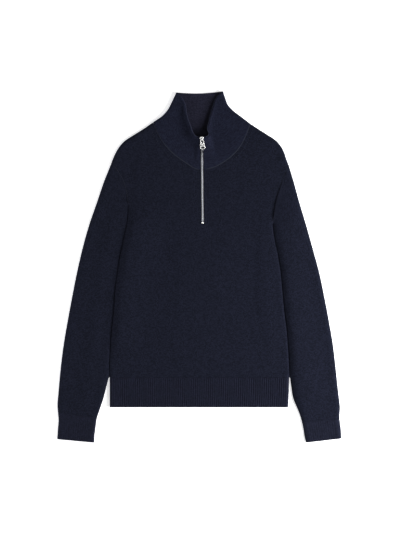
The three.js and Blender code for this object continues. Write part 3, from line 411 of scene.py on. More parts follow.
def side_y(side, row):
    """y on the body's side at a row number."""
    return np.interp(row, np.arange(len(FRONT_ROWS)), FRONT_ROWS[:, 1 if side == "right" else 2])


def body_side_x(side, y):
    """x of the body's side, with the armhole seam above the underarm."""
    armhole = at(ARMHOLE[side], y) - SIGN[side] * ARMHOLE_GAP / 2
    return np.where(y <= UNDERARM_Y[side], at(SIDE[side], y), armhole)


def arm_share(side, y):
    """0 at the underarm and 1 at the shoulder's tip."""
    return share_of(y, UNDERARM_Y[side], TIP[side][1])


def shoulder_line(side, share):
    """Straight line from the shoulder's tip to the neck."""
    return (mix(TIP[side][k], NECK_POINT[side][k], share) for k in range(2))


def shoulder_bulge(side, share):
    """How far the shoulder bulges from the straight line between its ends."""
    x, y = shoulder_line(side, share)
    return at(SHOULDER[side], y) - x


# distances from a rolled edge as shares of the roll's width: close together where it is steep
NEAR_EDGE = np.array([0, 0.03, 0.1, 0.22, 0.36, 0.55, 0.78, 1.05, 1.5, 2.1])


def half_front(side, row):
    """Half a front: each row goes from the side to the zip or neck seam."""
    neck_y = inner_y(side, row)
    edge_y = side_y(side, row)
    start_x = body_side_x(side, edge_y)
    end_x = np.where(row >= FIRST_NECK_ROW, at(NECK[side], neck_y) + SIGN[side] * SEAM_GAP,
                     zip_x(neck_y) + SIGN[side] * SLIT_HALF)
    end_y = neck_y - 2 * SEAM_GAP * share_of(neck_y, NECK_FRONT - 8, NECK_FRONT)
    length = np.hypot(end_x - start_x, end_y - edge_y)[:, None]
    near = NEAR_EDGE[None, :] * BODY_ROLL / length
    far = mix(near[:, -1:], 1.0, np.linspace(0, 1, FRONT_COLUMNS)[None, 1:])
    t = np.hstack([near, far])
    bulge = arm_share(side, edge_y)[:, None] * shoulder_bulge(side, t)
    return mix(start_x[:, None], end_x[:, None], t) + bulge, mix(edge_y[:, None], end_y[:, None], t)


row_lengths = np.maximum(np.abs(np.diff(FRONT_ROWS[:, 0])), np.abs(np.diff(FRONT_ROWS[:, 1])))
row_lengths[FIRST_NECK_ROW:] = (34, 22, 32, 30, 22, 13, 8, 8, 8)
front_rows = spaced(len(FRONT_ROWS), 3.0, row_lengths)
front_x, front_y = (np.hstack([right, left[:, ::-1]]) for right, left
                    in zip(half_front("right", front_rows), half_front("left", front_rows)))

# %% The placket's edge and the front piece
# distance from the slit's edge, half width, height: a soft welt, then the stitching's groove
PLACKET = [(1.6, 1.7, 0.7), (5.2, 1.3, -0.45)]


def placket(x, y):
    """Height of the turned edge along the zip, as bell curves that fade out below the slit and at
    the neck."""
    away = np.abs(x - zip_x(y)) - SLIT_HALF
    ends = share_of(y, SLIT_BOTTOM - 4, SLIT_BOTTOM + 2) * (1 - share_of(y, NECK_FRONT, NECK_FRONT + 4))
    return ends * sum(tall * np.exp(-((away - place) / wide) ** 2) for place, wide, tall in PLACKET)


front_face, front_inner = upper_layer(front_x, front_y, BODY_EDGES, "body", BODY_ROLL)
front_face[..., 2] += placket(front_x, front_y)
middle_column = front_x.shape[1] // 2 - 1
slit = np.zeros((front_x.shape[0] - 1, front_x.shape[1] - 1), bool)
slit[front_rows[:-1] >= FIRST_SLIT_ROW, middle_column] = True
front = cloth_piece("knit_front", front_face, front_inner, (front_x, front_y), left_out=slit)

# %% [markdown]
# ## The back
#
# The back has the front's outline, but its neck runs nearly straight from shoulder to shoulder.
# It lies on the table, so its underside is flat right up to the rolled edges.

# %% The back piece
BACK_WIDTH, SHOULDER_SHARE, SHOULDER_EASE = 400.0, 0.3, 1.6
BACK_NECK_DROP, BACK_NECK_SAG = 2.6, 9.2


def back_top(t):
    """The back's top edge at a share across it: shoulder, neck, shoulder."""
    neck = share_of(t, SHOULDER_SHARE, 1 - SHOULDER_SHARE)
    x, y = (mix(NECK_POINT["right"][k], NECK_POINT["left"][k], neck) for k in range(2))
    y = y - BACK_NECK_DROP - BACK_NECK_SAG * np.sin(np.pi * neck)
    for side, across in (("right", t), ("left", 1 - t)):
        share = share_of(across, 0, SHOULDER_SHARE)
        line_x, line_y = shoulder_line(side, share)
        on = across < SHOULDER_SHARE
        x = np.where(on, line_x + shoulder_bulge(side, share), x)
        y = np.where(on, line_y, y)
    return x, y


def from_both(near, count):
    """Shares across a piece: close together near both sides, and count even steps between."""
    return np.concatenate([near, np.linspace(near[-1], 1 - near[-1], count)[1:-1], 1 - near[::-1]])[None, :]


t = from_both(NEAR_EDGE * UNDER_ROLL / BACK_WIDTH, 62)
back_rows = spaced(len(FRONT_ROWS), 6.0, row_lengths)[:, None]
level_y = {side: side_y(side, back_rows) for side in SIDES}
level_x = {side: body_side_x(side, level_y[side]) for side in SIDES}
up_to = mix(arm_share("right", level_y["right"]), arm_share("left", level_y["left"]), t) ** SHOULDER_EASE
back_x, back_y = (
    mix(level["right"], level["left"], t) + up_to * (top - mix(TIP["right"][k], TIP["left"][k], t))
    for k, (level, top) in enumerate(zip((level_x, level_y), back_top(t))))
back_face, back_inner = lower_layer(back_x, back_y, BODY_EDGES)
back = cloth_piece("knit_back", back_face, back_inner, (back_x, back_y))

# %% [markdown]
# ## The ribbed hem
#
# The hem's band is a one-and-one rib: a raised column of knit stitches, then a sunk one. It is
# knitted on from the body, and its lower edge is a soft cast-on roll. The ribs are part of the
# shape here, because they are what catches the light.

# %% Hem band, front and back
def rib(x):
    """Height share of a rib: rounded on top and narrow in the furrow, once in each pitch."""
    return np.abs(np.cos(np.pi * x / RIB_PITCH)) ** 0.8


def band_x(across):
    """x over the band: small steps up each rolled side, and shares of the level part between."""
    level = mix(low_x + BODY_ROLL, high_x - BODY_ROLL, across[None, :])
    return np.hstack([low_x + roll_steps, level, high_x - roll_steps[:, ::-1]])


ends = np.array([0, 0.12, 0.35, 0.7, 1.1, 2.0])      # rows close together where an edge rounds off
hem_y = np.concatenate([HEM_TOP - ends, np.linspace(HEM_TOP - 2.0, HEM_BOTTOM + 2.0, 16)[1:-1],
                        HEM_BOTTOM + ends[::-1]])[:, None]
hem_edges = [BODY_EDGES[0], BODY_EDGES[2]]
low_x, high_x = at(SIDE["right"], hem_y), at(SIDE["left"], hem_y)
level_width = high_x - low_x - 2 * BODY_ROLL
rib_count = round(float(level_width[0, 0]) / RIB_PITCH)
roll_steps = NEAR_EDGE[NEAR_EDGE < 1][None, :] * BODY_ROLL

hem_x = band_x(np.linspace(0, 1, 8 * rib_count + 1))
rib_phase = (hem_x - low_x - BODY_ROLL) / level_width * rib_count * RIB_PITCH
hem_yy = np.broadcast_to(hem_y, hem_x.shape)
hem_face, hem_inner = upper_layer(hem_x, hem_yy, hem_edges, "band", BODY_ROLL, RIB_HEIGHT * rib(rib_phase))
rounding = soft_cut(np.minimum(HEM_TOP - hem_yy, hem_yy - HEM_BOTTOM))
hem_face[..., 2] -= rounding * rolled(np.minimum(hem_x - low_x, high_x - hem_x), BODY_ROLL)
hem_front = cloth_piece("hem_rib_front", hem_face, hem_inner, (rib_phase, hem_yy))

under_x = band_x(np.linspace(0, 1, 80))
under_y = np.broadcast_to(hem_y, under_x.shape)
under_face, under_inner = lower_layer(under_x, under_y, hem_edges)
hem_back = cloth_piece("hem_rib_back", under_face, under_inner, (under_x, under_y))
print("ribs across the hem:", rib_count)

# %% [markdown]
# ## Sleeves and cuffs
#
# A sleeve is a tube that lies flat, with its fold along the outer edge and its seam along the
# inner one. One grid goes all round it: over the top from the outer to the inner edge, and back
# underneath. The first row has the curve of the armhole, which fades out within a hand's width.

# %% Sleeve rows: y on the outer edge, y on the inner edge, share of the armhole's curve
SLEEVE_ROWS = {
    "right": np.array([
        (248.6, 149, 1), (216, 139, 0.7), (178, 124, 0.4), (128, 98, 0.15), (80, 66, 0), (17, 15, 0),
        (-55, -56, 0), (-127, -127, 0), (-185, -185, 0), (-232, -232, 0), (-262, -262, 0), (-290, -292, 0),
        (-322, -330, 0), (-347.4, -360.6, 0)]),
    "left": np.array([
        (245, 105, 1), (212, 96, 0.7), (175, 84, 0.4), (128, 68, 0.15), (84, 47, 0), (20, 2, 0),
        (-55, -62, 0), (-127, -129, 0), (-185, -186, 0), (-232, -232, 0), (-262, -262, 0), (-292, -294, 0),
        (-330, -334, 0), (-363.4, -370.2, 0)]),
}
CUFF_ROWS = {
    "right": np.array([(-347.4, -360.6, 0), (-380, -391, 0), (-411.4, -419.6, 0)]),
    "left": np.array([(-363.4, -370.2, 0), (-387, -395, 0), (-409.8, -419.6, 0)]),
}


def inner_sleeve_x(side, y):
    """Inner edge of a sleeve: beside the body as far down as the hem's rib, and then free."""
    beside = at(SIDE[side], y) + SIGN[side] * SLEEVE_GAP
    return np.where(y >= HEM_TOP + 2, beside, at(SLEEVE_FREE[side], y))


def sleeve_edges(side):
    """The outer fold and the inner seam of a sleeve with its cuff."""
    outer_y, inner_edge_y = (np.linspace(CUFF_ROWS[side][-1, k], SLEEVE_ROWS[side][0, k], 61)
                             for k in range(2))
    return [edge_chain(at(SLEEVE_OUTER[side], outer_y), outer_y, side),
            edge_chain(inner_sleeve_x(side, inner_edge_y), inner_edge_y, OTHER[side])]


def tube_place(side, rows, number, t):
    """Point at a share t from the outer to the inner edge, on the row with that number."""
    outer_y, inner_edge_y, curve = (
        np.interp(number, np.arange(len(rows)), rows[:, k])[:, None] for k in range(3))
    seam_y = mix(TIP[side][1], UNDERARM_Y[side], t)
    straight = mix(TIP[side][0], body_side_x(side, np.float64(UNDERARM_Y[side])), t)
    x = mix(at(SLEEVE_OUTER[side], outer_y), inner_sleeve_x(side, inner_edge_y), t)
    x = x + curve * (at(ARMHOLE[side], seam_y) - straight)
    if rows is SLEEVE_ROWS[side]:
        x = x + SIGN[side] * ARMHOLE_GAP / 2 * (1 - share_of(number, 0, 0.2))[:, None]
    return x, mix(outer_y, inner_edge_y, t)


def tube(side, rows, number, upper_t, lower_t, raised=0.0):
    """Face and inside all round a flattened tube, the upper layer first."""
    edges = sleeve_edges(side)
    over = upper_layer(*tube_place(side, rows, number, upper_t), edges, "sleeve", SLEEVE_ROLL, raised)
    under = lower_layer(*tube_place(side, rows, number, lower_t), edges)
    return [np.hstack(pair) for pair in zip(over, under)]


def around_lengths(face):
    """Distance travelled round each row, and down each column, in mm of cloth."""
    across = np.linalg.norm(np.diff(face, axis=1), axis=2)
    across = np.hstack([np.zeros((len(face), 1)), np.cumsum(across, axis=1)])
    along = np.linalg.norm(np.diff(face, axis=0), axis=2).mean(axis=1)
    along = np.concatenate([[0], np.cumsum(along)])[:, None]
    return across, np.broadcast_to(along, across.shape)


# %% Sleeves
SLEEVE_WIDTH, CUFF_WIDTH, CUFF_HALF_LONG = 100.0, 86.0, 31.0
sleeve_t = from_both(NEAR_EDGE * SLEEVE_ROLL / SLEEVE_WIDTH, 34)
sleeves = {}
for side in SIDES:
    rows = SLEEVE_ROWS[side]
    number = spaced(len(rows), 3.0, np.abs(np.diff(rows[:, 0])))
    face, inner = tube(side, rows, number, sleeve_t, sleeve_t[:, -2:0:-1])
    sleeves[side] = cloth_piece(f"knit_sleeve_{side}", face, inner, around_lengths(face), around=True)

# %% Cuffs
first = SLEEVE_ROLL / CUFF_WIDTH
cuff_ribs = round((CUFF_WIDTH - 2 * SLEEVE_ROLL) / RIB_PITCH)
near = NEAR_EDGE[NEAR_EDGE < 1] * first
cuff_t = np.concatenate([near, np.linspace(first, 1 - first, 8 * cuff_ribs + 1), 1 - near[::-1]])[None, :]
cuff_phase = (cuff_t - first) / (1 - 2 * first) * cuff_ribs * RIB_PITCH
ends = np.array([0, 0.003, 0.01, 0.02, 0.035])
number = np.concatenate([ends, np.linspace(0.06, 1.94, 18), 2 - ends[::-1]])
rounding = soft_cut(np.minimum(number, 2 - number)[:, None] * CUFF_HALF_LONG)
cuffs = {}
for side in SIDES:
    face, inner = tube(side, CUFF_ROWS[side], number, cuff_t, cuff_t[:, -2:0:-4], CUFF_RIB * rib(cuff_phase))
    face[:, :cuff_t.size, 2] -= rounding
    cuffs[side] = cloth_piece(f"cuff_rib_{side}", face, inner, around_lengths(face), around=True)

# %% [markdown]
# ## The stand collar
#
# The collar is one double strip of knit, sewn round the neck and zipped shut in front. Nobody is
# in it, so its back half lies on the table and its front half has fallen on it, but the zip is
# stiff and holds the front's top edge up, like the rim of a small crater. It is drawn as the
# middle of its cloth: a row of points from the zip round the fold to the back and round to the
# zip again, once for each level between seam and rim. Half the wall's thickness is then added on
# each side along the surface's own normals, and the rim is turned over in a half circle.

# %% Collar tables
COLLAR_FOLD = {  # (x, y)
    "right": [(-111.0, 348.3), (-90.0, 362.4), (-76.6, 376.8), (-68.6, 391.2), (-61.8, 405.6), (-55.0, 418.6)],
    "left": [(121.6, 345), (98.6, 362.4), (79.9, 376.8), (67.4, 391.2), (62.2, 405.6), (56.6, 421.0)],
}
COLLAR_RIM = {  # (x, y, z) of the cloth's middle
    "right": [(2.2, 313, 24), (-7.2, 314, 23), (-15.2, 323, 21.5), (-20.8, 338.6, 19.5), (-27.0, 354, 17),
              (-31.4, 371, 14), (-34.4, 388, 11.6), (-42.0, 403.4, 9.8), (-55.0, 418.6, 8.8)],
    "left": [(10.0, 313, 24), (18.6, 313.6, 22), (23.0, 320, 18.5), (19.2, 332, 14), (22.8, 350, 11),
             (28.2, 369.8, 9.8), (34.2, 387.8, 9.2), (42.4, 405.6, 8.4), (56.6, 421.0, 8.2)],
}
BACK_NECK_DIP, COLLAR_TOP_DIP = 11.0, 3.6
COLLAR_SEAM_Z, COLLAR_FOLD_Z, COLLAR_ROLL = 6.0, 7.6, 4.0
RIM_INSET, FRONT_COLLAR_SHARE = 2.0, 0.94
ZIP_SHARE = 0.08      # over this share of its length the front collar's end is drawn to the zip
# shares of the length from the zip over which the gentle rise turns into a late, steep one
LATE_RISE = {"right": (0.0, 0.09), "left": (0.1, 0.3)}
# y on the neck seam for shares of the front collar's length
SEAM_AT = [(0, 236), (0.157, 245), (0.313, 258), (0.47, 280), (0.627, 303), (0.783, 322), (0.94, 334)]


def points_at(line, want):
    """Points at some distances along a line of points."""
    run = run_along(line)
    return np.stack([np.interp(want, run, line[:, k]) for k in range(line.shape[1])], axis=1)


def through(points, shares):
    """Points at shares of the length of a smooth curve through some points: between two of them
    a cubic whose knots are spaced by the square root of their distance."""
    p = np.array([tuple(q) + (0,) * (3 - len(q)) for q in points], float)
    p = np.vstack([2 * p[0] - p[1], p, 2 * p[-1] - p[-2]])
    knot = np.concatenate([[0], np.cumsum(np.sqrt(np.linalg.norm(np.diff(p, axis=0), axis=1)))])
    slope = np.gradient(p, knot, axis=0)
    fine = np.linspace(knot[1], knot[-2], 600)
    i = np.clip(np.searchsorted(knot, fine, side="right") - 1, 1, len(knot) - 3)
    span = (knot[i + 1] - knot[i])[:, None]
    line = cubic(p[i], p[i + 1], slope[i], slope[i + 1], span, (fine - knot[i])[:, None] / span)
    return points_at(line, np.clip(shares, 0, 1) * run_along(line)[-1])


def collar_fold(side, v):
    """The folded side at a share v up it, moved in by half the wall so that its face and not its
    middle is on the outline."""
    fold = COLLAR_FOLD[side]
    y = np.linspace(fold[0][1], fold[-1][1], 11)
    chain = edge_chain(at([(q[1], q[0]) for q in fold], y), y, side)
    return through(chain[:, :2] - COLLAR_WALL / 2 * chain[:, 2:], v)


def collar_rise(v):
    """Share of the rim's height beside the zip: gentle at first, steep at the rim."""
    return 0.45 * v ** 1.4 + 0.55 * v ** 4


def late_rise(v):
    """The same away from the zip, where the cloth lies low and turns up only at its rim."""
    return v ** 6


# %% The collar's middle surface
def front_collar(side, s, v):
    """Middle of the cloth at a share s from the zip to the fold and v from seam to rim: a straight
    line from seam to rim, bent to the folded side as s nears 1 by the cube of s."""
    neck_end = NECK_POINT[side][1]
    seam_y = at(SEAM_AT + [(1.0, neck_end)], s)
    low = np.stack([at(NECK[side], seam_y), seam_y, 0 * seam_y], axis=-1)[None, :, :]
    high = through(COLLAR_RIM[side], s)[None, :, :]
    up = v[:, None] * (1 - RIM_INSET / np.linalg.norm(high - low, axis=2))
    p = mix(low, high, up[..., None])
    end_low = np.array([at(NECK[side], neck_end), neck_end, 0])
    end_high = np.array(COLLAR_RIM[side][-1], float)
    end_up = (v * (1 - RIM_INSET / np.linalg.norm(end_high - end_low)))[:, None, None]
    bend = collar_fold(side, v)[:, None, :] - mix(end_low, end_high, end_up)
    p[..., :2] += (s ** 3)[None, :, None] * bend[..., :2]
    seam_z = mix(COLLAR_SEAM_Z, COLLAR_FOLD_Z, share_of(s, 0.5, 0.9))[None, :]
    late = ease(share_of(s, *LATE_RISE[side]))[None, :]
    p[..., 2] = mix(seam_z, high[..., 2], mix(collar_rise(v)[:, None], late_rise(v)[:, None], late))
    at_zip = zip_x(p[:, :1, 1]) + SIGN[side] * SLIT_HALF - p[:, :1, 0]
    p[..., 0] += at_zip * (1 - share_of(s, 0, ZIP_SHARE))[None, :] ** 2
    return p


def back_collar(t, v):
    """Middle of the back half: from fold to fold, sagging by a half sine."""
    a, b = collar_fold("right", v)[:, None, :], collar_fold("left", v)[:, None, :]
    p = mix(a, b, t[None, :, None])
    p[..., 1] -= mix(BACK_NECK_DIP, COLLAR_TOP_DIP, v)[:, None] * np.sin(np.pi * t)[None, :]
    p[..., 2] = COLLAR_WALL / 2
    return p


def unit(vectors):
    """The vectors with length 1."""
    return vectors / np.linalg.norm(vectors, axis=-1, keepdims=True)


def turned_fold(end, way, half, angles, direction):
    """Points round one side of the fold: a quarter of an ellipse, COLLAR_ROLL wide and half high."""
    p = end[:, None, :] + COLLAR_ROLL * (1 - np.cos(angles))[None, :, None] * way[:, None, :]
    p[..., 2] = (end[:, 2] - half)[:, None] + direction * half[:, None] * np.sin(angles)[None, :]
    return p


def half_collar(side, v):
    """One half of every row: the front from the zip, the fold, and the start of the back."""
    s = np.concatenate([np.linspace(0, ZIP_SHARE, 7)[:-1], np.linspace(ZIP_SHARE, FRONT_COLLAR_SHARE, 52)])
    front_part = front_collar(side, s, v)
    end = front_collar(side, np.array([1.0]), v)[:, 0]
    half = (end[:, 2] - COLLAR_WALL / 2) / 2
    back_start = back_collar(np.array([0.1 if side == "right" else 0.9]), v)[:, 0]
    inward, back_in = (unit((p - end) * [1, 1, 0]) for p in (front_part[:, -1], back_start))
    down = np.radians(np.linspace(90, 0, 9))
    upper = turned_fold(end, inward, half, down, 1)
    lower = turned_fold(end, back_in, half, down[::-1][1:], -1)
    return np.concatenate([front_part, upper, lower], axis=1)


levels = np.concatenate([np.linspace(0, 0.7, 26)[:-1], np.linspace(0.7, 1, 20)])
right_half, left_half = half_collar("right", levels), half_collar("left", levels)
back_part = back_collar(np.linspace(0.09, 0.91, 44), levels)
middle = np.concatenate([right_half, back_part, left_half[:, ::-1]], axis=1)

# %% The collar piece
HALF_WALL, LIP_REACH, LIP_END = COLLAR_WALL / 2, 1.9, 0.12
normal = unit(np.cross(np.gradient(middle, axis=0), np.gradient(middle, axis=1)))
lip = np.radians(np.linspace(0, 90, 7)[1:])
lip_middle = middle[-1] + (LIP_REACH * np.sin(lip))[:, None, None] * unit(middle[-1] - middle[-2])
centre = np.concatenate([middle, lip_middle])
normals = np.concatenate([normal, np.broadcast_to(normal[-1], lip_middle.shape)])
halves = HALF_WALL * np.concatenate([np.ones(len(middle)), np.maximum(np.cos(lip), LIP_END)])
halves[:3] -= 0.4 * np.array([1, 0.45, 0.12])

# a bead of thicker cloth just inside the rim: on the wearer's right, where the edge curls over, it
# is taller than on the rest, with 14 columns to change from one to the other
columns = np.arange(middle.shape[1]) - right_half.shape[1]
curled = 1 - share_of(columns, -38, -24)[None, :]
bead_tall, bead_place, bead_wide = (mix(a, b, curled) for a, b in ((0.7, 2.5), (1.0, 2.4), (2.6, 2.4)))
from_rim = np.linalg.norm(middle - middle[-1:], axis=2)
rim_bead = bead_tall * np.exp(-((from_rim - bead_place) / bead_wide) ** 2)
bead = np.concatenate([rim_bead, rim_bead[-1:] * np.cos(lip)[:, None]])
collar_face = centre + normals * (halves[:, None] + bead)[..., None]
collar_inner = centre - normals * halves[:, None, None]
for grid in (collar_face, collar_inner):
    grid[..., 2] = np.maximum(grid[..., 2], 0)      # nothing sinks into the table
collar = cloth_piece("knit_collar", collar_face, collar_inner, around_lengths(collar_face))
rim_lines = [centre[-1, 1:57], centre[-1, ::-1][1:57]]      # for the edge stitches, further down
print("collar rises to", round(float(collar_face[..., 2].max()), 1), "mm")

# %% [markdown]
# ## The zip's tape
#
# Two woven strips carry the teeth. In the body they lie under the front, and in the collar they
# stand in the slit between its two edges.

# %% Heights along the zip
TAPE_THICK, TAPE_WING, TAPE_DROP = 1.0, 13.0, 2.9
TAPE_RISE, TAPE_SINK, TAPE_TAIL = 12.0, 0.8, 16.0
WING_END = NECK_FRONT - 3.0      # above it the tape is as narrow as the collar's slit
CHAIN_BOTTOM, CHAIN_TOP, CHAIN_THICK = 109.2, 301.2, 2.2


def zip_collar_z(y):
    """Middle of the collar's cloth beside the zip."""
    v = share_of(y, NECK_FRONT, RIM_FRONT - RIM_INSET)
    return mix(COLLAR_SEAM_Z, COLLAR_RIM["right"][0][2], collar_rise(v))


def tape_top_z(y):
    """Face of the tape, which rises from under the front into the collar's slit."""
    share = share_of(y, WING_END, WING_END + TAPE_RISE)
    return mix(LAID_TOP - TAPE_DROP, zip_collar_z(y) - TAPE_SINK, share)


# %% Tapes
tapes = {}
tape_y = np.concatenate([np.linspace(SLIT_BOTTOM - TAPE_TAIL, WING_END, 60),
                         np.linspace(WING_END + 1, CHAIN_TOP, 44)])[:, None]
half_width = np.where(tape_y <= WING_END, TAPE_WING, SLIT_HALF - 2 * SEAM_GAP)
for side in SIDES:
    x = zip_x(tape_y) + SIGN[side] * mix(SEAM_GAP / 2, half_width, np.linspace(0, 1, 12)[None, :])
    y = np.broadcast_to(tape_y, x.shape)
    face = np.stack([x, y, tape_top_z(y)], axis=-1)
    tapes[side] = cloth_piece(f"tape_{side}", face, face - [0, 0, TAPE_THICK], (x, y))

# %% [markdown]
# ## Metal teeth
#
# Each tooth of a metal zip is a little bar clamped on the tape's edge, and the two rows take
# turns, so that a closed zip reads as a bright ladder. Their tops are stamped level, so each
# mirrors one patch of the room. A tooth could be a box with a bevel. Here it is a few squared
# rings, the same for all, set down once for each place along the zip: four-sided faces and few of
# them, because there are over a hundred and fifty.

# %% Small shapes from rings
def soft(value, power):
    """Each value's 2/power-th power, with its sign kept: it squares up a circle."""
    return np.sign(value) * np.abs(value) ** (2 / power)


def even_turn(count):
    """Angles evenly all round."""
    return np.linspace(0, 2 * np.pi, count, endpoint=False)


def ring_faces(rings, around):
    """Faces of four corners between rings of points, and across the first and last ring."""
    n = np.arange(rings * around).reshape(rings, around)
    m = np.roll(n, -1, axis=1)
    faces = [np.stack([n[:-1], m[:-1], m[1:], n[1:]], axis=-1).reshape(-1, 4)]
    k = np.arange(around // 2 - 1)
    for end in (n[0][::-1], n[-1]):
        faces.append(np.stack([end[k], end[k + 1], end[around - 2 - k], end[around - 1 - k]], axis=1))
    return np.concatenate(faces)


def squared_rings(half, size, height, power, around):
    """A closed shape from superellipse rings, |x/a|^p + |y/b|^p = 1. half is its half size along
    x, y and z, and each ring has its own share of the size and of the height."""
    angle = even_turn(around)
    x, y = half[0] * soft(np.cos(angle), power), half[1] * soft(np.sin(angle), power)
    size, height = np.array(size)[:, None], np.array(height)[:, None]
    points = np.stack([size * x, size * y, half[2] * np.broadcast_to(height, (len(size), around))], axis=-1)
    return points.reshape(-1, 3), ring_faces(len(size), around)


def rounded_block(half, power, around, rings):
    """A closed block with soft edges all round: its rings follow the same superellipse upwards
    and shrink to a small cap."""
    tilt = np.radians(np.linspace(-84, 84, rings))
    return squared_rings(half, soft(np.cos(tilt), power), soft(np.sin(tilt), power), power, around)


def flat_bar(half, around=12):
    """A closed bar with a level top and a rounded upper edge."""
    size, height = (0.94, 1.0, 1.0, 0.94, 0.86, 0.80), (-1.0, -0.9, 0.6, 0.92, 1.0, 1.0)
    return squared_rings(half, size, height, 6, around)


def copies(points, faces, places, frames):
    """The same small shape at many places: each copy is turned by its own frame of three axes."""
    turned = np.einsum("pk,nkj->npj", points, frames) + places[:, None, :]
    numbers = faces[None] + (np.arange(len(places)) * len(points))[:, None, None]
    return turned.reshape(-1, 3), numbers.reshape(-1, faces.shape[1])


def joined(parts):
    """Several shapes, each its points and faces, as one."""
    starts = np.cumsum([0] + [len(points) for points, _ in parts[:-1]])
    return (np.concatenate([points for points, _ in parts]),
            np.concatenate([faces + start for (_, faces), start in zip(parts, starts)]))


def zip_frames(y):
    """Axes at points along the zip: across it, up it, and off its face."""
    step = 0.5
    up = unit(np.stack([zip_x(y + step) - zip_x(y - step), np.full(y.shape, 2 * step),
                        tape_top_z(y + step) - tape_top_z(y - step)], axis=-1))
    across = unit([1.0, 0, 0] - up[:, :1] * up)
    return np.stack([across, up, np.cross(across, up)], axis=1)


# %% Teeth
TOOTH_PITCH, TOOTH_OFF = 2.5, 1.0
TOOTH_HALF = (2.2, 0.6, CHAIN_THICK / 2)
tooth = flat_bar(TOOTH_HALF)
rows_of_teeth = []
for side, phase in (("right", 0.25), ("left", 0.75)):
    y = np.arange(CHAIN_BOTTOM + phase * TOOTH_PITCH + 0.2, CHAIN_TOP - 0.6, TOOTH_PITCH)
    z = tape_top_z(y) + SEAM_GAP + CHAIN_THICK / 2
    places = np.stack([zip_x(y) + SIGN[side] * TOOTH_OFF, y, z], axis=-1)
    rows_of_teeth.append(copies(*tooth, places, zip_frames(y)))
zip_teeth = mesh_of("zip_teeth", *joined(rows_of_teeth))
print("teeth:", len(zip_teeth.data.vertices) // len(tooth[0]))

# %% Bottom stop
STOP_WIDE, STOP_LONG, STOP_THICK = 6.2, 3.4, 2.9
stop_points, stop_faces = flat_bar((STOP_WIDE / 2, STOP_LONG / 2, STOP_THICK / 2), 28)
stop_z = float(tape_top_z(np.array(SLIT_BOTTOM))) + SEAM_GAP + STOP_THICK / 2
stop_place = [float(zip_x(SLIT_BOTTOM)), CHAIN_BOTTOM - SEAM_GAP - STOP_LONG / 2, stop_z]
bottom_stop = mesh_of("bottom_stop", stop_points + stop_place, stop_faces)

# %% [markdown]
# ## Slider and pull
#
# The slider is a cast plate, wider at its shoulders, with a bridge on top. The pull is a stamped
# tongue with a narrow slot for the bridge and an oval hole at its end, polished all over. Both
# are drawn in a frame that lies on the zip, as the CAD does. Their outlines come as closed
# curves; a rounded edge is a quarter circle that pulls the outline in as it rises.

# %% The frame on the zip
SLIDER_Y = 309.5
SLIDER_WIDE, SLIDER_LONG, PLATE, PLATE_LOW = 10.4, 12.4, 1.7, 2.8
BRIDGE_WIDE, BRIDGE_HOLE, BRIDGE_OUT = 2.2, 1.5, 2.9
HINGE_Z = PLATE_LOW + PLATE + 2.0
ZIP_SLOPE = float(np.arctan((zip_collar_z(311.0) - zip_collar_z(299.0)) / 12))
PULL_DROOP, PULL_TWIST = np.radians(-1.5), np.radians(5.5)


def turn_x(angle):
    c, s = np.cos(angle), np.sin(angle)
    return np.array([(1, 0, 0), (0, c, -s), (0, s, c)])


def turn_z(angle):
    c, s = np.cos(angle), np.sin(angle)
    return np.array([(c, -s, 0), (s, c, 0), (0, 0, 1)])


def on_zip(points):
    """From the slider's frame to the garment's."""
    origin = np.array([float(zip_x(SLIDER_Y)), SLIDER_Y, float(zip_collar_z(SLIDER_Y))])
    return points @ turn_x(ZIP_SLOPE).T + origin


def on_hinge(points):
    """From the pull's frame, whose x axis is the hinge line, to the garment's."""
    turned = points @ (turn_z(PULL_TWIST) @ turn_x(PULL_DROOP)).T
    return on_zip(turned + [0, 0, HINGE_Z])


# %% Plates with rounded edges
QUARTER = np.radians(np.linspace(0, 90, 5))


def pulled_in(line, distance):
    """A counter-clockwise closed line moved in along its normals."""
    along = unit(np.roll(line, -1, axis=0) - np.roll(line, 1, axis=0))
    return line + distance * np.stack([-along[:, 1], along[:, 0]], axis=1)


def stacked(rows):
    """Rows of (outline, z) as one grid of points."""
    return np.stack([np.column_stack([line, np.full(len(line), z)]) for line, z in rows])


def ring_between(outer, hole, half, edge):
    """A flat plate between an outline and a hole with the same number of points, with rounded
    edges: rows go up the outer edge, over the hole's edge, down it and back up to the start."""
    rows = []
    for line, way, up, turns in ((outer, 1, 1, QUARTER), (hole, -1, 1, QUARTER[::-1]),
                                 (hole, -1, -1, QUARTER), (outer, 1, -1, QUARTER[::-1])):
        for angle in turns:
            z = up * (half - edge + edge * np.sin(angle))
            rows.append((pulled_in(line, way * edge * (1 - np.cos(angle))), z))
    points = stacked(rows)
    n = np.arange(points.shape[0] * points.shape[1]).reshape(points.shape[:2])
    m, up = np.roll(n, -1, axis=1), np.roll(n, -1, axis=0)
    faces = np.stack([n, m, np.roll(up, -1, axis=1), up], axis=-1).reshape(-1, 4)
    return points.reshape(-1, 3), outward(points.reshape(-1, 3), faces)


def plate(line, low, high, edge, rings=4):
    """A solid plate from one outline with rounded edges, closed in the middle by rings that
    shrink to a point on each face."""
    centre, face_line = line.mean(axis=0), pulled_in(line, edge)
    shares = np.linspace(0.02, 1, rings)
    rows = [(mix(centre, face_line, share), low) for share in shares]
    rows += [(pulled_in(line, edge * (1 - np.cos(a))), low + edge - edge * np.sin(a))
             for a in QUARTER[::-1][1:]]
    rows += [(pulled_in(line, edge * (1 - np.cos(a))), high - edge + edge * np.sin(a))
             for a in QUARTER]
    rows += [(mix(centre, face_line, share), high) for share in shares[::-1][1:]]
    points = stacked(rows)
    faces = ring_faces(*points.shape[:2])
    return points.reshape(-1, 3), outward(points.reshape(-1, 3), faces)


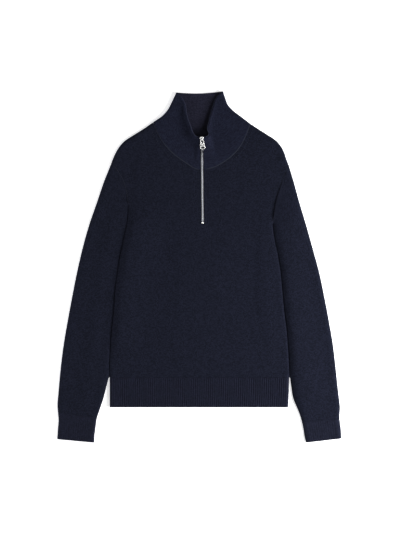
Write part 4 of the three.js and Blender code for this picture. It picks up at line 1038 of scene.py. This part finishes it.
def closed_line(corners, count):
    """Points evenly along a closed line through some corners."""
    loop = np.vstack([corners, corners[:1]])
    return points_at(loop, np.linspace(0, run_along(loop)[-1], count, endpoint=False))


# %% The pull
PULL_LONG, PULL_TOP_HALF, PULL_END_HALF, PULL_THICK = 27.0, 3.8, 6.6, 1.8
SLOT_HALF, SLOT_FROM, SLOT_TO = 2.0, 0.8, 11.4
HOLE_Y, HOLE_WIDE, HOLE_TALL = -21.8, 3.9, 2.4
SPLIT_Y = -15.4     # the pull is made as two rings that meet here, one round each opening
SLOT_CENTRE_Y, PULL_EDGE, POINTS_ROUND = -5.6, 0.45, 96


def pull_half_width(y):
    """Half the pull's width at y: it widens evenly from the slot to the end's rounded corners."""
    end = -(PULL_LONG - PULL_END_HALF * 0.8)
    straight = mix(PULL_TOP_HALF, PULL_END_HALF, 1 - share_of(y, end, SLOT_FROM))
    bottom = 1 - share_of(y, -PULL_LONG, end)
    return straight * np.sqrt(np.maximum(1 - bottom ** 2.2, 0)) + 0.001


def both_sides(half, y):
    """A closed line from half its width at each level."""
    return np.concatenate([np.stack([-half, y], axis=1), np.stack([half, y], axis=1)[::-1]])


def ring_outline(y_high, y_low):
    """The part of the pull's outline between two levels as one closed line."""
    y = mix(y_high, y_low, (1 - np.cos(np.linspace(0, np.pi, 40))) / 2)
    return closed_line(both_sides(pull_half_width(y), y), 900)


def by_angle(line, centre):
    """A closed line as points at even angles round a centre inside it, so that two lines can be
    joined point to point."""
    angle = np.arctan2(line[:, 1] - centre[1], line[:, 0] - centre[0])
    order = np.argsort(angle)
    angle, line = angle[order], line[order]
    wrapped = np.concatenate([angle - 2 * np.pi, angle, angle + 2 * np.pi])
    want = np.linspace(-np.pi, np.pi, POINTS_ROUND, endpoint=False)
    return np.stack([np.interp(want, wrapped, np.tile(line[:, k], 3)) for k in range(2)], axis=1)


slot_y = np.linspace(-SLOT_FROM, -SLOT_TO, 30)
slot_ends = np.sqrt(share_of(slot_y, -SLOT_TO, 5 - SLOT_TO))
slot_ends *= np.clip((-slot_y - SLOT_FROM) / 0.5 + 0.3, 0, 1)
slot_line = both_sides(SLOT_HALF * slot_ends, slot_y)
turn = even_turn(200)
hole_line = np.stack([HOLE_WIDE * np.cos(turn), HOLE_Y + HOLE_TALL * np.sin(turn)], axis=1)
pull_parts = [
    ring_between(by_angle(ring_outline(high, low), centre), by_angle(opening, centre),
                 PULL_THICK / 2, PULL_EDGE)
    for high, low, opening, centre in ((SLOT_FROM, SPLIT_Y, slot_line, (0, SLOT_CENTRE_Y)),
                                       (SPLIT_Y, -PULL_LONG, hole_line, (0, HOLE_Y)))]
pull_points, pull_faces = joined(pull_parts)
pull = mesh_of("zip_pull", on_hinge(pull_points), pull_faces)

# %% The slider
# its outline as shares of half its width and half its length
SLIDER_PLAN = [(-0.6, -1), (0.6, -1), (0.86, -0.5), (1, 0.1), (1, 0.5), (0.78, 0.82), (0.5, 1), (-0.5, 1),
               (-0.78, 0.82), (-1, 0.5), (-1, 0.1), (-0.86, -0.5)]
CHANNEL_HALF = (3.3, SLIDER_LONG / 2 - 1, 1.8)      # the part that runs on the teeth
outline = closed_line(np.array(SLIDER_PLAN) * [SLIDER_WIDE / 2, SLIDER_LONG / 2], 64)
for _ in range(3):      # rounds its corners off
    outline = 0.25 * np.roll(outline, 1, axis=0) + 0.5 * outline + 0.25 * np.roll(outline, -1, axis=0)

# the bridge is an oval section swept round the hinge line
bow, tube_turn = np.radians(np.linspace(-50, 230, 40))[:, None], even_turn(16)[None, :]
radius = (BRIDGE_OUT + BRIDGE_HOLE) / 2 + (BRIDGE_OUT - BRIDGE_HOLE) / 2 * np.cos(tube_turn)
bridge_x = np.broadcast_to(BRIDGE_WIDE / 2 * np.sin(tube_turn), (bow.size, tube_turn.size))
bridge = np.stack([bridge_x, radius * np.cos(bow), HINGE_Z + radius * np.sin(bow)], axis=-1).reshape(-1, 3)
channel, channel_faces = rounded_block(CHANNEL_HALF, 8.0, 24, 9)
slider_points, slider_faces = joined([
    plate(outline, PLATE_LOW, PLATE_LOW + PLATE, 0.6),
    (bridge, outward(bridge, ring_faces(bow.size, tube_turn.size))),
    (channel + [0, 0, PLATE_LOW + 0.4 - CHANNEL_HALF[2]], channel_faces)])
slider = mesh_of("slider_body", on_zip(slider_points), slider_faces)
print("pull and slider:", len(pull_faces), len(slider_faces), "faces")

# %% [markdown]
# ## Linking, edges, fashioning marks and stitching
#
# On fully fashioned knitwear the collar and sleeves are linked on stitch by stitch, which leaves
# a fine chain along each seam, and the narrowed stitches show as a row of small dots beside the
# neck. Each is a row of little yarn loops, set along a line on the cloth. The last stitches of an
# edge, at the neck seam and round the collar's rim, lie closer than the eye can part, so they are
# made as one thin cord of yarn.

# %% Lines on the cloth
def on_face(x, y, lift):
    """Points over (x, y), lifted off the face of the upper layer."""
    face, _ = upper_layer(x, y, BODY_EDGES, "body", BODY_ROLL)
    return np.stack([x, y, face[..., 2] + lift], axis=1)


def evenly(line, pitch):
    """Points at an even pitch along a line of points, and its direction there."""
    length = run_along(line)[-1]
    want = np.arange(pitch / 2, length, pitch)
    ahead, behind = np.minimum(want + 0.4, length), np.maximum(want - 0.4, 0)
    return points_at(line, want), unit(points_at(line, ahead) - points_at(line, behind))


def loops(name, lines, pitch, size, lean=0.0):
    """A row of yarn loops along each line: rounded blocks size = (long, wide, tall), lying along
    the line, each turned by lean about the line's upright."""
    block = rounded_block(np.array(size) / 2, 2.4, 8, 5)
    rows = []
    for line in lines:
        spots, way = evenly(line, pitch)
        across = unit(np.cross([0, 0, 1.0], way))
        long_way = np.cos(lean) * way + np.sin(lean) * across
        wide_way = np.cos(lean) * across - np.sin(lean) * way
        rows.append(copies(*block, spots, np.stack([long_way, wide_way, np.cross(way, across)], axis=1)))
    return mesh_of(name, *joined(rows))


def cord(name, lines, half_wide, half_tall, around=8):
    """A closed cord along each line of points: an oval round every point, drawn in at both ends."""
    angle = even_turn(around)[None, :, None]
    cords = []
    for line in lines:
        spots, way = evenly(line, 2.0)
        across = unit(np.cross([0, 0, 1.0], way))
        size = np.ones(len(spots))
        size[:3] = size[-3:][::-1] = (0.25, 0.7, 0.95)
        oval = (half_wide * np.cos(angle) * across[:, None]
                + half_tall * np.sin(angle) * np.cross(way, across)[:, None])
        points = (spots[:, None] + size[:, None, None] * oval).reshape(-1, 3)
        cords.append((points, ring_faces(len(spots), around)))
    return mesh_of(name, *joined(cords))


# %% Neck linking, edge cords and fashioning marks
NECK_END_ROW = 19.6
WHOLE, MARKED = slice(None), slice(46, 116)      # the marks run beside the seam's middle part
neck_lines, cord_lines, mark_lines = [], [], []
for side in SIDES:
    y = inner_y(side, np.linspace(FIRST_NECK_ROW + 0.12, NECK_END_ROW, 160))
    x = at(NECK[side], y)
    dx, dy = np.gradient(x), np.gradient(y)
    out = np.stack([dy, -dx], axis=1) * SIGN[side] / np.hypot(dx, dy)[:, None]
    for lines, away, lift, part in ((neck_lines, 0.9, 0.35, WHOLE), (cord_lines, 0.2, 0.1, WHOLE),
                                    (mark_lines, 11.0, 0.1, MARKED)):
        lines.append(on_face(x[part] + away * out[part, 0], y[part] + away * out[part, 1], lift))
neck_linking = loops("neck_linking", neck_lines, 2.3, (2.4, 1.1, 0.9), 0.35)
neck_cord = cord("neck_cord", cord_lines, 1.4, 1.0)
collar_edge = cord("collar_edge", rim_lines, 1.25, 1.25)
fashion_marks = loops("fashion_marks", mark_lines, 6.4, (2.2, 1.5, 0.9), 0.8)

# %% Armhole linking
arm_lines = []
for side in SIDES:
    y = np.linspace(UNDERARM_Y[side] + 4, TIP[side][1] - 4, 120)
    arm_lines.append(on_face(at(ARMHOLE[side], y) - SIGN[side] * 1.3, y, 0.05))
armhole_linking = loops("armhole_linking", arm_lines, 2.3, (2.3, 1.0, 0.8), 0.35)

# %% Stitching beside the zip
STITCH_OFF, STITCH_BELOW, STITCH_LIFT = 8.6, 6.0, 0.12
stitch_lines = []
for side in SIDES:
    y = np.linspace(SLIT_BOTTOM - STITCH_BELOW, NECK_FRONT - 2, 200)
    x = zip_x(y) + SIGN[side] * STITCH_OFF
    stitch_lines.append(on_face(x, y, placket(x, y) + STITCH_LIFT))
x = zip_x(SLIT_BOTTOM) + np.linspace(-STITCH_OFF, STITCH_OFF, 30)
stitch_lines.append(on_face(x, np.full(x.shape, SLIT_BOTTOM - STITCH_BELOW), STITCH_LIFT))
zip_stitching = loops("zip_stitching", stitch_lines, 3.4, (2.3, 0.8, 0.7))
print("loops: neck", len(neck_linking.data.polygons), "faces")

# %% [markdown]
# ## Wool, tape and nickel
#
# The wool is a worsted yarn dyed dark navy and knitted fine, then washed so that it has a short
# nap. Three things make it read as wool and not as paint: the stitches, which shade each other;
# the yarn, which is never one even colour; and the nap, which lifts the tone where the cloth
# turns away from the eye. The stitches are drawn from the cloth's own measure. The nap is the
# shader's sheen.

# %% Colours and node helpers
def linear(hex_colour):
    """A screen colour such as '#1d1f2b' as linear light, with full opacity."""
    parts = [int(hex_colour[i:i + 2], 16) / 255 for i in (1, 3, 5)]
    return tuple(p / 12.92 if p <= 0.04045 else ((p + 0.055) / 1.055) ** 2.4 for p in parts) + (1.0,)


def new_material(name):
    """A material with only a surface shader and its output."""
    material = bpy.data.materials.new(name)
    material.use_nodes = True
    nodes = material.node_tree.nodes
    nodes.clear()
    shader = nodes.new("ShaderNodeBsdfPrincipled")
    output = nodes.new("ShaderNodeOutputMaterial")
    material.node_tree.links.new(shader.outputs["BSDF"], output.inputs["Surface"])
    return material, shader


def add(material, kind, settings=(), **inputs):
    """Adds a node, sets what is plain and links what is a socket. An input's name has _ for a
    space, and i0, i1, i2 stand for a math node's inputs."""
    node = material.node_tree.nodes.new("ShaderNode" + kind)
    for name, value in dict(settings).items():
        setattr(node, name, value)
    for name, value in inputs.items():
        socket = node.inputs[int(name[1:])] if name[1:].isdigit() else node.inputs[name.replace("_", " ")]
        if isinstance(value, bpy.types.NodeSocket):
            material.node_tree.links.new(value, socket)
        else:
            socket.default_value = value
    return node


def math(material, operation, a, b=0.0, c=0.0):
    node = add(material, "Math", {"operation": operation}, i0=a, i1=b, i2=c)
    return node.outputs[0]


def blend_colours(material, share, a, b, mode="MIX"):
    node = add(material, "MixRGB", {"blend_type": mode}, Fac=share, Color1=a, Color2=b)
    return node.outputs[0]


def link(material, socket, target):
    """Joins an output to an input."""
    material.node_tree.links.new(socket, target)


def set_values(shader, values):
    """Sets plain values on a shader."""
    for name, value in values.items():
        shader.inputs[name].default_value = value


# %% The knit
# A stitch of this gauge is nearer 1.9 mm wide. It is drawn wider, because the picture shows 2.4 mm
# a pixel. Wool scatters light: roughness near 1, hardly any gloss, and a little sheen.
WALE, COLLAR_WALE, COURSE = 2.6, 2.3, 1.9       # width and height of one stitch, mm
LEAN, LOBE, GROOVE, CENTRE = 1.5, 3.2, 0.8, 0.5


def knit_material(name, colour, light_colour, bump=0.45, wale=WALE, uneven=0.9):
    """Fine wool knit. Each stitch is two lobes that lean together: along the cloth the pattern
    repeats every course, and it is shifted by how far the point is from the wale's middle."""
    material, shader = new_material(name)

    def calc(operation, *terms):
        return math(material, operation, *terms)

    cloth = add(material, "UVMap", {"uv_map": "cloth"}).outputs["UV"]
    across_along = add(material, "SeparateXYZ", Vector=cloth)
    u = calc("DIVIDE", across_along.outputs["X"], wale * MM)
    v = calc("DIVIDE", across_along.outputs["Y"], COURSE * MM)
    from_middle = calc("ABSOLUTE", calc("SUBTRACT", calc("FRACT", u), 0.5))
    to_edge = calc("MULTIPLY", from_middle, 2.0)
    leaning = calc("ADD", v, calc("MULTIPLY", from_middle, LEAN))
    along = calc("SUBTRACT", calc("FRACT", leaning), 0.5)
    lobe = calc("SUBTRACT", 1.0, calc("MULTIPLY", calc("MULTIPLY", along, along), LOBE))
    groove = calc("MULTIPLY", calc("POWER", to_edge, 3.0), GROOVE)
    centre = calc("MULTIPLY", calc("POWER", calc("SUBTRACT", 1.0, to_edge), 4.0), CENTRE)
    height = calc("SUBTRACT", calc("SUBTRACT", lobe, groove), centre)
    # one tone a stitch, as yarn is spun a little lighter and darker
    stitch = add(material, "CombineXYZ", X=calc("FLOOR", u), Y=calc("FLOOR", v)).outputs[0]
    tone = add(material, "TexWhiteNoise", {"noise_dimensions": "2D"}, Vector=stitch).outputs["Value"]
    # clouds 40 mm wide, where the nap lies one way or the other, and tufts of fibre of about 1 mm
    place = add(material, "TexCoord").outputs["Object"]
    clouds = add(material, "TexNoise", Vector=place, Scale=26.0, Detail=3.0, Roughness=0.6).outputs["Fac"]
    fuzz = add(material, "TexNoise", Vector=place, Scale=900.0, Detail=2.0, Roughness=0.7).outputs["Fac"]
    share = calc("MULTIPLY_ADD", tone, uneven, calc("MULTIPLY_ADD", clouds, 0.12, -0.06))
    share = calc("MULTIPLY_ADD", fuzz, 0.2, calc("SUBTRACT", share, 0.06))
    tinted = blend_colours(material, calc("MINIMUM", calc("MAXIMUM", share, 0.0), 1.0),
                           linear(colour), linear(light_colour))
    # the deep parts of a stitch get less light than the bump can show
    shaded = calc("MULTIPLY_ADD", height, 0.28, 0.78)
    grey = add(material, "CombineColor", Red=shaded, Green=shaded, Blue=shaded).outputs[0]
    link(material, blend_colours(material, 1.0, tinted, grey, "MULTIPLY"), shader.inputs["Base Color"])
    relief = calc("MULTIPLY_ADD", fuzz, 0.5, height)
    bumped = add(material, "Bump", Height=relief, Strength=bump, Distance=0.0005)
    link(material, bumped.outputs["Normal"], shader.inputs["Normal"])
    set_values(shader, {"Roughness": 0.92, "Specular IOR Level": 0.08, "Sheen Weight": 0.03,
                        "Sheen Roughness": 0.45, "Sheen Tint": linear("#5a5f86")})
    return material


# the rib's colour is painted a little lighter, as painted light where its columns stand up into the light;
# the collar is knitted tighter; its inside and the back's look greyer than the rest, and are painted
# lighter too, as painted fill light in the shaded neck opening, so they have their own colours
wool = knit_material("navy_wool_knit", "#2f323f", "#3e4153")
wool_rib_painted_light = knit_material("navy_wool_rib", "#353745", "#44475b", bump=0.3, uneven=0.6)
wool_collar = knit_material("navy_wool_collar", "#333545", "#42465b", wale=COLLAR_WALE)
wool_inside_painted_fill = knit_material("navy_wool_inside", "#3c3c4b", "#4d4d60", wale=COLLAR_WALE)


# %% Yarn, tape and nickel
def yarn_material(name, colour, light_colour):
    """Plied yarn: strands of two tones, 0.7 mm across, dull, with a little nap."""
    material, shader = new_material(name)
    place = add(material, "TexCoord").outputs["Object"]
    strand = add(material, "TexNoise", Vector=place, Scale=1400.0, Detail=2.0).outputs["Fac"]
    tinted = blend_colours(material, strand, linear(colour), linear(light_colour))
    link(material, tinted, shader.inputs["Base Color"])
    set_values(shader, {"Roughness": 0.85, "Sheen Weight": 0.1})
    return material


def tape_material(name, colour, light_colour):
    """Woven polyester tape: fine diagonal bands, under 1 mm apart, darker and flatter than wool."""
    material, shader = new_material(name)
    cloth = add(material, "UVMap", {"uv_map": "cloth"}).outputs["UV"]
    weave = add(material, "TexWave", {"wave_type": "BANDS", "bands_direction": "DIAGONAL"},
                Vector=cloth, Scale=700.0, Distortion=0.4, Detail=1.0).outputs["Fac"]
    tinted = blend_colours(material, weave, linear(colour), linear(light_colour))
    link(material, tinted, shader.inputs["Base Color"])
    bumped = add(material, "Bump", Height=weave, Strength=0.4, Distance=0.0002)
    link(material, bumped.outputs["Normal"], shader.inputs["Normal"])
    set_values(shader, {"Roughness": 0.8})
    return material


def nickel_material(name, colour, rough, scratch):
    """Nickel plating on brass: an almost white metal. Fine handling marks vary its roughness."""
    material, shader = new_material(name)
    place = add(material, "TexCoord").outputs["Object"]
    marks = add(material, "TexNoise", Vector=place, Scale=700.0, Detail=4.0, Roughness=0.65).outputs["Fac"]
    link(material, math(material, "MULTIPLY_ADD", marks, scratch, rough), shader.inputs["Roughness"])
    bumped = add(material, "Bump", Height=marks, Strength=0.08, Distance=0.0001)
    link(material, bumped.outputs["Normal"], shader.inputs["Normal"])
    set_values(shader, {"Base Color": linear(colour), "Metallic": 1.0})
    return material


yarn = yarn_material("navy_linking_yarn", "#303443", "#404555")
# the collar's rim cord is lighter and bluer than the other yarn: a painted highlight where the rim catches the
# lamp
edge_yarn_painted_highlight = yarn_material("navy_edge_yarn", "#363a4e", "#484d66")
tape_cloth = tape_material("navy_woven_tape", "#1c1e28", "#2c2f3c")
nickel_polished = nickel_material("nickel_polished", "#f1f1f0", 0.12, 0.12)
nickel_teeth = nickel_material("nickel_teeth", "#d3d5da", 0.22, 0.14)      # stamped, not polished

# %% [markdown]
# ## What each piece is, and what it stands for
#
# Every piece takes a finish, rides on the body of the CAD model that it moves with, and stands
# for a plain solid of the CAD model, which is hidden.

# %% Finishes and bodies
# piece, finish, slot, the CAD node that it stands for
PLAN = [
    (front, wool, "knit", "front"), (back, wool, "knit", "back"),
    (hem_front, wool_rib_painted_light, "knit", "hem_front"), (hem_back, wool_rib_painted_light, "knit", "hem_back"),
    (sleeves["right"], wool, "knit", "right_sleeve"), (sleeves["left"], wool, "knit", "left_sleeve"),
    (cuffs["right"], wool_rib_painted_light, "knit", "right_cuff"), (cuffs["left"], wool_rib_painted_light, "knit", "left_cuff"),
    (collar, wool_collar, "knit", "collar"),
    (tapes["right"], tape_cloth, "zip_tape", "zip_tape_right"),
    (tapes["left"], tape_cloth, "zip_tape", "zip_tape_left"),
    (zip_teeth, nickel_teeth, "zip_metal", "zip_chain"),
    (bottom_stop, nickel_polished, "zip_metal", "zip_bottom_stop"),
    (slider, nickel_polished, "zip_metal", "zip_slider"),
    (pull, nickel_polished, "zip_metal", "zip_pull_tab"),
    (neck_linking, yarn, "knit", None), (neck_cord, yarn, "knit", None),
    (collar_edge, edge_yarn_painted_highlight, "knit", None), (fashion_marks, yarn, "knit", None),
    (armhole_linking, yarn, "knit", None), (zip_stitching, yarn, "knit", None),
]
for piece, material, slot, node in PLAN:
    piece.data.materials.append(material)
    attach(piece, "pull_tab" if piece is pull else "sweater")
    if node:
        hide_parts(node)

# the inner faces of the collar and the back show through the neck in their own greyer tone, painted
# lighter as fill light, since the neck's opening lies in shade
for piece, face in ((collar, collar_face), (back, back_face)):
    piece.data.materials.append(wool_inside_painted_fill)
    cells = (face.shape[0] - 1) * (face.shape[1] - 1)
    inner_side = np.zeros(len(piece.data.polygons), np.int32)
    inner_side[cells:2 * cells] = 1
    piece.data.polygons.foreach_set("material_index", inner_side)
for name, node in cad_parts.items():
    metal = name in ("zip_chain", "zip_bottom_stop", "zip_slider", "zip_pull_tab")
    node.data.materials.clear()
    node.data.materials.append(nickel_polished if metal else tape_cloth if "tape" in name else yarn)
print("pieces:", len(PLAN))

# %% [markdown]

# %% [markdown]
# ## The studio
#
# A white table lit until it is almost blank, and a large soft lamp on the wearer's left, 33
# degrees up and a little to the hem's side. It is near, so the light falls off across the garment.
# Cloth shows its form by that side light alone. Metal shows what it mirrors, so it has two lamps
# of its own: one overhead for the level teeth and the stop, and a card beyond the hem for the
# slider and pull, whose faces lean that way. The camera hangs straight above, far off and with a
# long lens, so that nothing leans outward.

# %% Floor
HALF_TABLE, TABLE_Z = 4000, -0.3      # the table is just clear of the cloth
corners = [(-1, -1), (1, -1), (1, 1), (-1, 1)]
floor_points = np.array([(HALF_TABLE * x, HALF_TABLE * y, TABLE_Z) for x, y in corners])
floor = mesh_of("studio_floor", floor_points, np.array([[0, 1, 2, 3]]))
paper, paper_shader = new_material("white_paper")
set_values(paper_shader, {"Base Color": linear("#f4f4f4"), "Roughness": 0.9,
                          "Emission Color": (1, 1, 1, 1), "Emission Strength": 0.58})
floor.data.materials.append(paper)

# %% Lamps and room
# name, place, what it looks at, width and height in metres, watts
LAMPS = [
    ("key", (1.62, -0.42, 1.05), (0.05, 0.0, 0.0), 1.1, 1.1, 52.0),
    ("reflector", (-1.15, 0.0, 0.24), (-0.2, 0, 0), 1.6, 0.3, 9.0),
    ("overhead", (0.05, 0.25, 2.4), (0, 0, 0), 1.3, 1.3, 7.5),
    ("hem_card", (0.02, -1.62, 1.45), (0, 0.1, 0), 1.3, 0.8, 3.0),
]
collection = bpy.context.scene.collection
for name, place, aim, wide, high, watts in LAMPS:
    lamp = bpy.data.lights.new(name, "AREA")
    lamp.shape, lamp.size, lamp.size_y, lamp.energy = "RECTANGLE", wide, high, watts
    holder = bpy.data.objects.new(name, lamp)
    collection.objects.link(holder)
    holder.location = place
    holder.rotation_euler = (Vector(aim) - Vector(place)).to_track_quat("-Z", "Y").to_euler()
world = bpy.data.worlds.new("room")
bpy.context.scene.world = world
world.use_nodes = True
set_values(world.node_tree.nodes["Background"], {"Color": (1, 1, 1, 1), "Strength": 0.1})
print("lamps:", len(LAMPS))

# %% Camera
FRAME_HIGH = 1.296          # metres of table from the top to the bottom of the picture
CAMERA_UP, SENSOR = 6.0, 36.0
camera_data = bpy.data.cameras.new("above")
camera_data.sensor_fit, camera_data.sensor_height = "VERTICAL", SENSOR
camera_data.lens = SENSOR * CAMERA_UP / FRAME_HIGH
camera = bpy.data.objects.new("above", camera_data)
collection.objects.link(camera)
camera.location = (0.0076, -0.0060, CAMERA_UP)
bpy.context.scene.camera = camera
view = bpy.context.scene.view_settings
view.view_transform, view.look = "Standard", "None"
view.gamma = 1 / 1.4         # a product photo's contrast: dark tones are pulled apart
